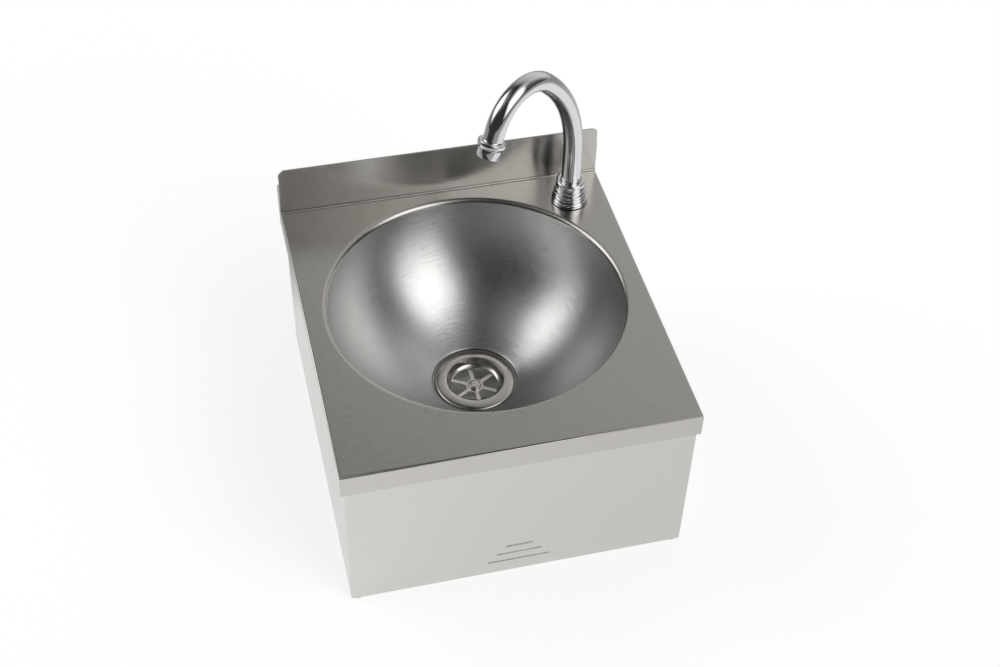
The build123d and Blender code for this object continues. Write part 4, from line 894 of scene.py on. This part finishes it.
class Spout(bpy.types.Operator):
    """Bent chrome tube of the spout"""

    bl_idname = "sink.spout"
    bl_label = "Spout"

    def execute(self, context):
        settings = context.scene.sink_tap
        socket_depth = 6.5 * MM
        round_steps, wide_steps, tight_steps = 64, 28, 44
        side, first_centre, second_centre, _, along = spout_places(settings)
        foot = TAP_AXIS + UP * (DECK + socket_depth)
        bm = bmesh.new()
        ring = circle_edges(bm, foot, settings.tube, round_steps)
        ring = pulled(bm, ring, UP * (DECK + settings.leg - foot.z))
        for centre, turn, steps in (
            (first_centre, settings.wide_turn, wide_steps),
            (second_centre, settings.tight_turn, tight_steps),
        ):
            swept = bmesh.ops.spin(
                bm, geom=ends(ring) + ring, cent=centre, axis=side.cross(UP), angle=-turn, steps=steps,
                use_merge=False, use_duplicate=False,
            )["geom_last"]
            ring = only(bmesh.types.BMEdge, swept)
        pulled(bm, ring, along * settings.end_run)
        bmesh.ops.recalc_face_normals(bm, faces=bm.faces)
        lowest = min(bm.faces, key=lambda face: face.calc_center_median().z)
        if lowest.normal.dot(lowest.calc_center_median() - foot) < 0:
            bmesh.ops.reverse_faces(bm, faces=bm.faces)
        tube = finished("Spout_tube", bm, "spout", "chrome", ["spout_tube"])
        walled(tube, settings.tube_wall, folded=False)
        return {"FINISHED"}


class TapBase(bpy.types.Operator):
    """Tap base with its rings, and the gland nut"""

    bl_idname = "sink.tap_base"
    bl_label = "Tap base"

    def execute(self, context):
        # radii, and then heights
        bore, shank, socket, seal_seat = 6.5, 10.478, 10.06, 12.7
        flange, barrel, groove, neck, ring = 19, 17.3, 16.5, 14.8, 16.4
        shank_foot, gasket_top, socket_foot, seal_foot = 34, 81, 86.2, 96.3
        flange_top, barrel_foot, groove_middle, groove_half = 85, 85.6, 89.6, 0.5
        barrel_top, neck_top, ring_top = 94, 95.6, 98.5
        turned_piece("Tap_base", "root", "chrome", "tap_base", [
            (bore, shank_foot), (shank, shank_foot), (shank, gasket_top), (flange, gasket_top),
            (flange, flange_top), (barrel, barrel_foot), (barrel, groove_middle - groove_half),
            (groove, groove_middle), (barrel, groove_middle + groove_half), (barrel, barrel_top),
            (neck, barrel_top), (neck, neck_top), (ring, neck_top), (ring, ring_top),
            (seal_seat, ring_top), (seal_seat, seal_foot), (socket, seal_foot),
            (socket, socket_foot), (bore, socket_foot),
        ], TAP_AXIS, rounds={4: 1.2, 5: 0.3, 6: 0.25, 8: 0.25, 9: 1.0, 12: 0.5, 13: 0.7})
        nut, nut_mouth, nut_top, mouth_depth = 15.4, 11.4, 107.5, 1.3
        turned_piece("Gland_nut", "root", "chrome", "gland_nut", [
            (socket, ring_top), (nut, ring_top), (nut, nut_top), (nut_mouth, nut_top),
            (socket, nut_top - mouth_depth),
        ], TAP_AXIS, rounds={1: 0.8, 2: 2.2, 3: 0.6})
        return {"FINISHED"}


class Outlet(bpy.types.Operator):
    """Collar and nozzle at the end of the spout"""

    bl_idname = "sink.outlet"
    bl_label = "Outlet"

    def execute(self, context):
        side, _, _, end, along = spout_places(context.scene.sink_tap)
        bore, tube, shoulder, collar, foot = 9.4, 10.1, 11.7, 13.9, 12.8
        joint, band_start, band_end, tube_end = 3.5, -2.4, 1.3, 0.1
        turned_piece("Outlet_collar", "spout", "chrome", "outlet_collar", [
            (tube, -joint), (shoulder, -joint), (collar, band_start), (collar, band_end),
            (foot, joint), (bore, joint), (bore, tube_end), (tube, tube_end),
        ], end, axis=along, rounds={1: 0.5, 2: 0.7, 3: 0.7, 4: 0.6})
        nozzle, mouth, chamfer, nozzle_end, lip = 11.2, 8.0, 0.8, 14.0, 1.2
        turned_piece("Outlet_nozzle", "spout", "chrome", "aerator_housing", [
            (bore, joint), (nozzle - chamfer, joint), (nozzle, joint + chamfer),
            (nozzle, nozzle_end - chamfer), (nozzle - chamfer, nozzle_end), (mouth, nozzle_end),
            (mouth, nozzle_end - lip), (bore, nozzle_end - lip),
        ], end, self.spanner_flats(side, end, along), axis=along, rounds={2: 0.3, 3: 0.3, 5: 0.3})
        return {"FINISHED"}

    def spanner_flats(self, side, end, along):
        """Six blocks whose inner faces are the flats for a spanner."""
        flats, reach, start = 6, 10.3, 6.5
        depth, width, run = 4, 10, 20
        across = along.cross(side.cross(UP)).normalized()
        third = along.cross(across).normalized()
        cutter = bmesh.new()
        for number in range(flats):
            facing = FULL * (number + 0.5) / flats
            outwards = across * cos(facing) + third * sin(facing)
            turn = Matrix((outwards, along.cross(outwards), along)).transposed().to_4x4()
            middle = end + outwards * (reach + depth / 2) * MM + along * (start + run / 2) * MM
            scaled_cube(cutter, middle, (depth * MM, width * MM, run * MM), turn)
        return cutter


# Waste

class Waste(bpy.types.Operator):
    """Waste flange with its strainer, and the screw in the middle"""

    bl_idname = "sink.waste"
    bl_label = "Waste"

    strainer, throat = -48.7, 25.0

    def execute(self, context):
        self.flange()
        self.screw()
        return {"FINISHED"}

    def flange(self):
        """Flange, well and strainer, turned in one, with the slots cut through."""
        hub, well, well_outside, edge = 3.0, 29.2, 30.2, 42.5
        strainer_sheet, well_slope, well_top, well_mouth = 1.5, 3.0, -38.2, -37.9
        seat, edge_top = -40.0, -39.1
        outer_slope, outer_crown, inner_crown = (41.6, -38.4), (39, -37.8), (31.5, -37.75)
        strainer, throat = self.strainer, self.throat
        piece = turned_piece("Waste_flange", "root", "polished_steel", "waste_flange", [
            (well, well_top), (well, strainer + well_slope), (throat, strainer), (hub, strainer),
            (hub, strainer - strainer_sheet), (throat, strainer - strainer_sheet),
            (well_outside, strainer + well_slope - strainer_sheet), (well_outside, seat),
            (edge, seat), (edge, edge_top), outer_slope, outer_crown, inner_crown,
            (well_outside, well_mouth),
        ], BOWL_AXIS, self.slots(), steps=160, rounds={1: 1.6, 2: 1.6, 9: 0.3, 0: 0.25, 13: 0.4})
        soft = piece.modifiers.new("Soft edges", "BEVEL")
        soft.limit_method = "ANGLE"
        soft.angle_limit = radians(50)
        soft.width = 0.35 * MM
        soft.segments = 2
        soft.harden_normals = True

    def slots(self):
        """Upright blocks in the shape of the strainer's slots, with the spokes between them."""
        count, spoke_half, corner = 6, 2.0, 1.6
        inner, inner_steps, outer_steps = 9.0, 3, 8
        foot, height = 54, 10
        cutter = bmesh.new()
        for number in range(count):
            slot = bmesh.new()
            corners = []
            for radius, way, steps in ((inner, 1, inner_steps), (self.throat, -1, outer_steps)):
                half = pi / count - asin(spoke_half / radius)
                for step in range(steps + 1):
                    turn = FULL * number / count + way * half * (1 - 2 * step / steps)
                    corners.append(slot.verts.new(
                        BOWL_AXIS + Vector((cos(turn), sin(turn), 0)) * radius * MM - UP * foot * MM
                    ))
            face = slot.faces.new(corners)
            ends = (0, inner_steps, inner_steps + 1, inner_steps + 1 + outer_steps)
            uprights = [face.verts[index] for index in ends]
            raised = bmesh.ops.extrude_face_region(slot, geom=[face])["geom"]
            bmesh.ops.translate(slot, verts=only(bmesh.types.BMVert, raised), vec=UP * height * MM)
            posts = [
                edge for vert in uprights for edge in vert.link_edges
                if abs(edge.verts[0].co.z - edge.verts[1].co.z) > MM
            ]
            rounded_edges(slot, posts, corner * MM)
            bmesh.ops.recalc_face_normals(slot, faces=slot.faces)
            mesh = bpy.data.meshes.new("slot")
            slot.to_mesh(mesh)
            slot.free()
            cutter.from_mesh(mesh)
            bpy.data.meshes.remove(mesh)
        return cutter

    def screw(self):
        """Screw with a domed head and a driver slot."""
        shank, head, crown = 2.9, 6.5, 5.2
        foot, head_side, top = -72.7, -47.0, -46.1
        slot_length, slot_width, slot_height, slot_middle = 20, 1.4, 4, 45.3
        cutter = bmesh.new()
        scaled_cube(
            cutter, BOWL_AXIS - UP * slot_middle * MM,
            (slot_length * MM, slot_width * MM, slot_height * MM),
        )
        turned_piece("Waste_screw", "root", "polished_steel", "waste_screw", [
            (0, foot), (shank, foot), (shank, self.strainer), (head, self.strainer),
            (head, head_side), (crown, top), (0, top),
        ], BOWL_AXIS, cutter, steps=64, rounds={4: 0.6, 5: 0.8}, closed=False)


# Valve spring

class Spring(bpy.types.Operator):
    """Spring of the self closing valve, which shortens as the skirt is pushed; one wire, wound at the
    length of the imported spring
    """

    bl_idname = "sink.spring"
    bl_label = "Valve spring"

    def execute(self, context):
        wire, wire_steps = 1.1 * MM, 12
        turns, steps_a_turn = 5, 48
        middle = (SPRING_LOW + SPRING_HIGH) / 2
        coil = (SPRING_HIGH.x - SPRING_LOW.x - wire) / 2
        length = SPRING_HIGH.y - SPRING_LOW.y
        steps = turns * steps_a_turn
        start = Vector((middle.x + coil, SPRING_LOW.y + wire / 2, middle.z))
        bm = bmesh.new()
        edges = circle_edges(bm, start, wire / 2, wire_steps)
        bmesh.ops.contextual_create(bm, geom=edges)
        swept = bmesh.ops.spin(
            bm, geom=edges, cent=middle, axis=OUT, angle=FULL * turns, steps=steps,
            dvec=OUT * (wire - length) / steps,
        )["geom_last"]
        bmesh.ops.contextual_create(bm, geom=only(bmesh.types.BMEdge, swept))
        bmesh.ops.recalc_face_normals(bm, faces=bm.faces)
        piece = finished("Valve_spring", bm, "root", "spring_steel", ["valve_spring"], sharp=60)
        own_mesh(piece)
        return {"FINISHED"}


# Studio

# Soft panels of light round the object: azimuth (0 in front, 90 at the right), elevation, half
# width and half height in degrees, softness of the edge, strength
PANELS = (
    (-117, 33, 22, 21, 0.36, 1.65),
    (37, 33, 20.5, 24, 0.27, 1.65),
    (-90, 60, 18, 12, 0.5, 0.3),
    (52, 58, 18, 14, 0.5, 0.8),
    (156, 12, 42, 22, 0.5, 0.2),
    (140, 28, 38, 34, 0.6, 0.42),
    (100, 40, 30, 30, 0.7, 0.10),
)


class Studio(bpy.types.Operator):
    """Pale floor, soft panels and the camera"""

    bl_idname = "sink.studio"
    bl_label = "Studio"

    def execute(self, context):
        settings = context.scene.sink_stage
        scene = context.scene
        scene.view_settings.view_transform = "Standard"
        self.sky(scene)
        self.floor(CAD_BOX[0].z - settings.floor_gap)
        self.camera(scene, settings)
        return {"FINISHED"}

    def sky(self, scene):
        """White behind the object, and dim with soft panels where the object mirrors it."""
        room_level, ground_level, ground_edge = 0.035, 0.7, 6.0
        least_depth, front_edge = 0.02, 8.0
        scene.world = bpy.data.worlds.new("Studio")
        paint = Finish(scene.world)
        x, y, z = paint.parts(paint.wire("ShaderNodeTexCoord", output="Generated"))

        def panel(azimuth, elevation, half_width, half_height, soft):
            """Soft edged rectangle in a direction."""
            a, e = radians(azimuth), radians(elevation)
            middle = (sin(a) * cos(e), -cos(a) * cos(e), sin(e))
            beside = (cos(a), sin(a), 0.0)
            above = (-sin(a) * sin(e), cos(a) * sin(e), cos(e))
            ahead, sideways, upwards = (
                x * way[0] + y * way[1] + z * way[2] for way in (middle, beside, above)
            )
            depth = ahead.at_least(least_depth)
            inside_x, inside_y = (
                ((tan(radians(half)) - abs(off) / depth) / soft + 0.5).limited()
                for half, off in ((half_width, sideways), (half_height, upwards))
            )
            return inside_x * inside_y * (ahead * front_edge).limited()

        level = room_level
        for *shape, strength in PANELS:
            level = level + panel(*shape) * strength
        level = level + (0.0 - z * ground_edge).limited() * ground_level
        seen = paint.wire("ShaderNodeLightPath", output="Is Camera Ray")
        glow = paint.wire("ShaderNodeBackground", Color=(1, 0.995, 0.985, 1), Strength=level)
        white = paint.wire("ShaderNodeBackground", Color=(1, 1, 1, 1), Strength=1.0)
        both = paint.wire("ShaderNodeMixShader", _0=seen, _1=glow, _2=white)
        paint.node("ShaderNodeOutputWorld", Surface=both)

    def floor(self, height):
        """Floor that is almost white to the camera, keeps the shadow and fades in mirrors."""
        half_size, grey = 6.0, 0.55
        seen_glow, mirrored_glow, far_glow = 0.72, 0.6, 0.08
        left_glow, left_fade = 0.13, 2.2
        behind_start, behind_fade, behind_dim = 0.02, 10.0, 0.6
        object_y, near_level, near_fade = 0.2, 2.2, 1.6
        bm = bmesh.new()
        bmesh.ops.create_grid(
            bm, x_segments=1, y_segments=1, size=half_size,
            matrix=Matrix.Translation((0, 0, height)),
        )
        floor = in_scene("Floor", bm)
        material = bpy.data.materials.new("pale_floor")
        floor.data.materials.append(material)
        paint = Finish(material)
        seen = paint.wire("ShaderNodeLightPath", output="Is Camera Ray")
        glossy = paint.wire("ShaderNodeLightPath", output="Is Glossy Ray")
        mirrored = (glossy + paint.wire("ShaderNodeLightPath", output="Is Transmission Ray")).limited()
        x, y, _ = paint.parts(paint.place())
        left = (0.5 - x * left_fade).limited()
        behind = ((y - behind_start) * behind_fade).limited()
        forwards = y + object_y
        reach = (x * x + forwards * forwards).root()
        near = (near_level - reach * near_fade).limited() * (1.0 - far_glow) + far_glow
        mirror_level = near * (mirrored_glow + left * left_glow) * (1.0 - behind * behind_dim)
        matt = paint.wire("ShaderNodeBsdfDiffuse", Color=(grey, grey, grey, 1))
        glow = paint.wire(
            "ShaderNodeEmission", Color=(1, 1, 1, 1), Strength=seen * seen_glow + mirrored * mirror_level
        )
        both = paint.wire("ShaderNodeAddShader", _0=matt, _1=glow)
        paint.node("ShaderNodeOutputMaterial", Surface=both)

    def camera(self, scene, settings):
        azimuth, drop, roll = settings.camera_azimuth, settings.camera_drop, settings.camera_roll
        ahead = Vector((sin(azimuth) * cos(drop), cos(azimuth) * cos(drop), -sin(drop)))
        beside = ahead.cross(UP).normalized()
        above = beside.cross(ahead)
        right = beside * cos(roll) + above * sin(roll)
        data = bpy.data.cameras.new("Camera")
        data.lens = settings.lens
        data.sensor_width = 36.0
        data.sensor_fit = "HORIZONTAL"
        camera = bpy.data.objects.new("Camera", data)
        scene.collection.objects.link(camera)
        turn = Matrix((right, right.cross(ahead), -ahead)).transposed().to_4x4()
        camera.matrix_world = Matrix.Translation(settings.camera_place) @ turn
        scene.camera = camera


class SinkPanel(bpy.types.Panel):
    """Lists the pieces and their settings"""

    bl_idname = "VIEW3D_PT_sink"
    bl_label = "Hand wash sink"
    bl_space_type = "VIEW_3D"
    bl_region_type = "UI"
    bl_category = "Sink"

    def draw(self, context):
        for group in GROUPS:
            box = self.layout.box()
            for name in GROUPS[group].__annotations__:
                box.prop(getattr(context.scene, group), name)
        for operator in OPERATORS:
            self.layout.operator(operator.bl_idname)


GROUPS = {
    "sink_sheet": SheetSettings,
    "sink_tap": TapSettings,
    "sink_finish": FinishSettings,
    "sink_stage": StageSettings,
}
OPERATORS = (CarriedNodes, Worktop, Bowl, Skirt, Spout, TapBase, Outlet, Waste, Spring, Studio)


def register():
    for made in (*GROUPS.values(), *OPERATORS, SinkPanel):
        bpy.utils.register_class(made)
    for name, group in GROUPS.items():
        setattr(bpy.types.Scene, name, PointerProperty(type=group))


def unregister():
    for name in GROUPS:
        delattr(bpy.types.Scene, name)
    for made in reversed((*GROUPS.values(), *OPERATORS, SinkPanel)):
        bpy.utils.unregister_class(made)


def main():
    register()
    bpy.ops.sink.carried_nodes()
    bpy.ops.sink.worktop()
    bpy.ops.sink.bowl()
    bpy.ops.sink.skirt()
    bpy.ops.sink.spout()
    bpy.ops.sink.tap_base()
    bpy.ops.sink.outlet()
    bpy.ops.sink.waste()
    bpy.ops.sink.spring()
    bpy.ops.sink.studio()


if __name__ == "__main__":
    main()
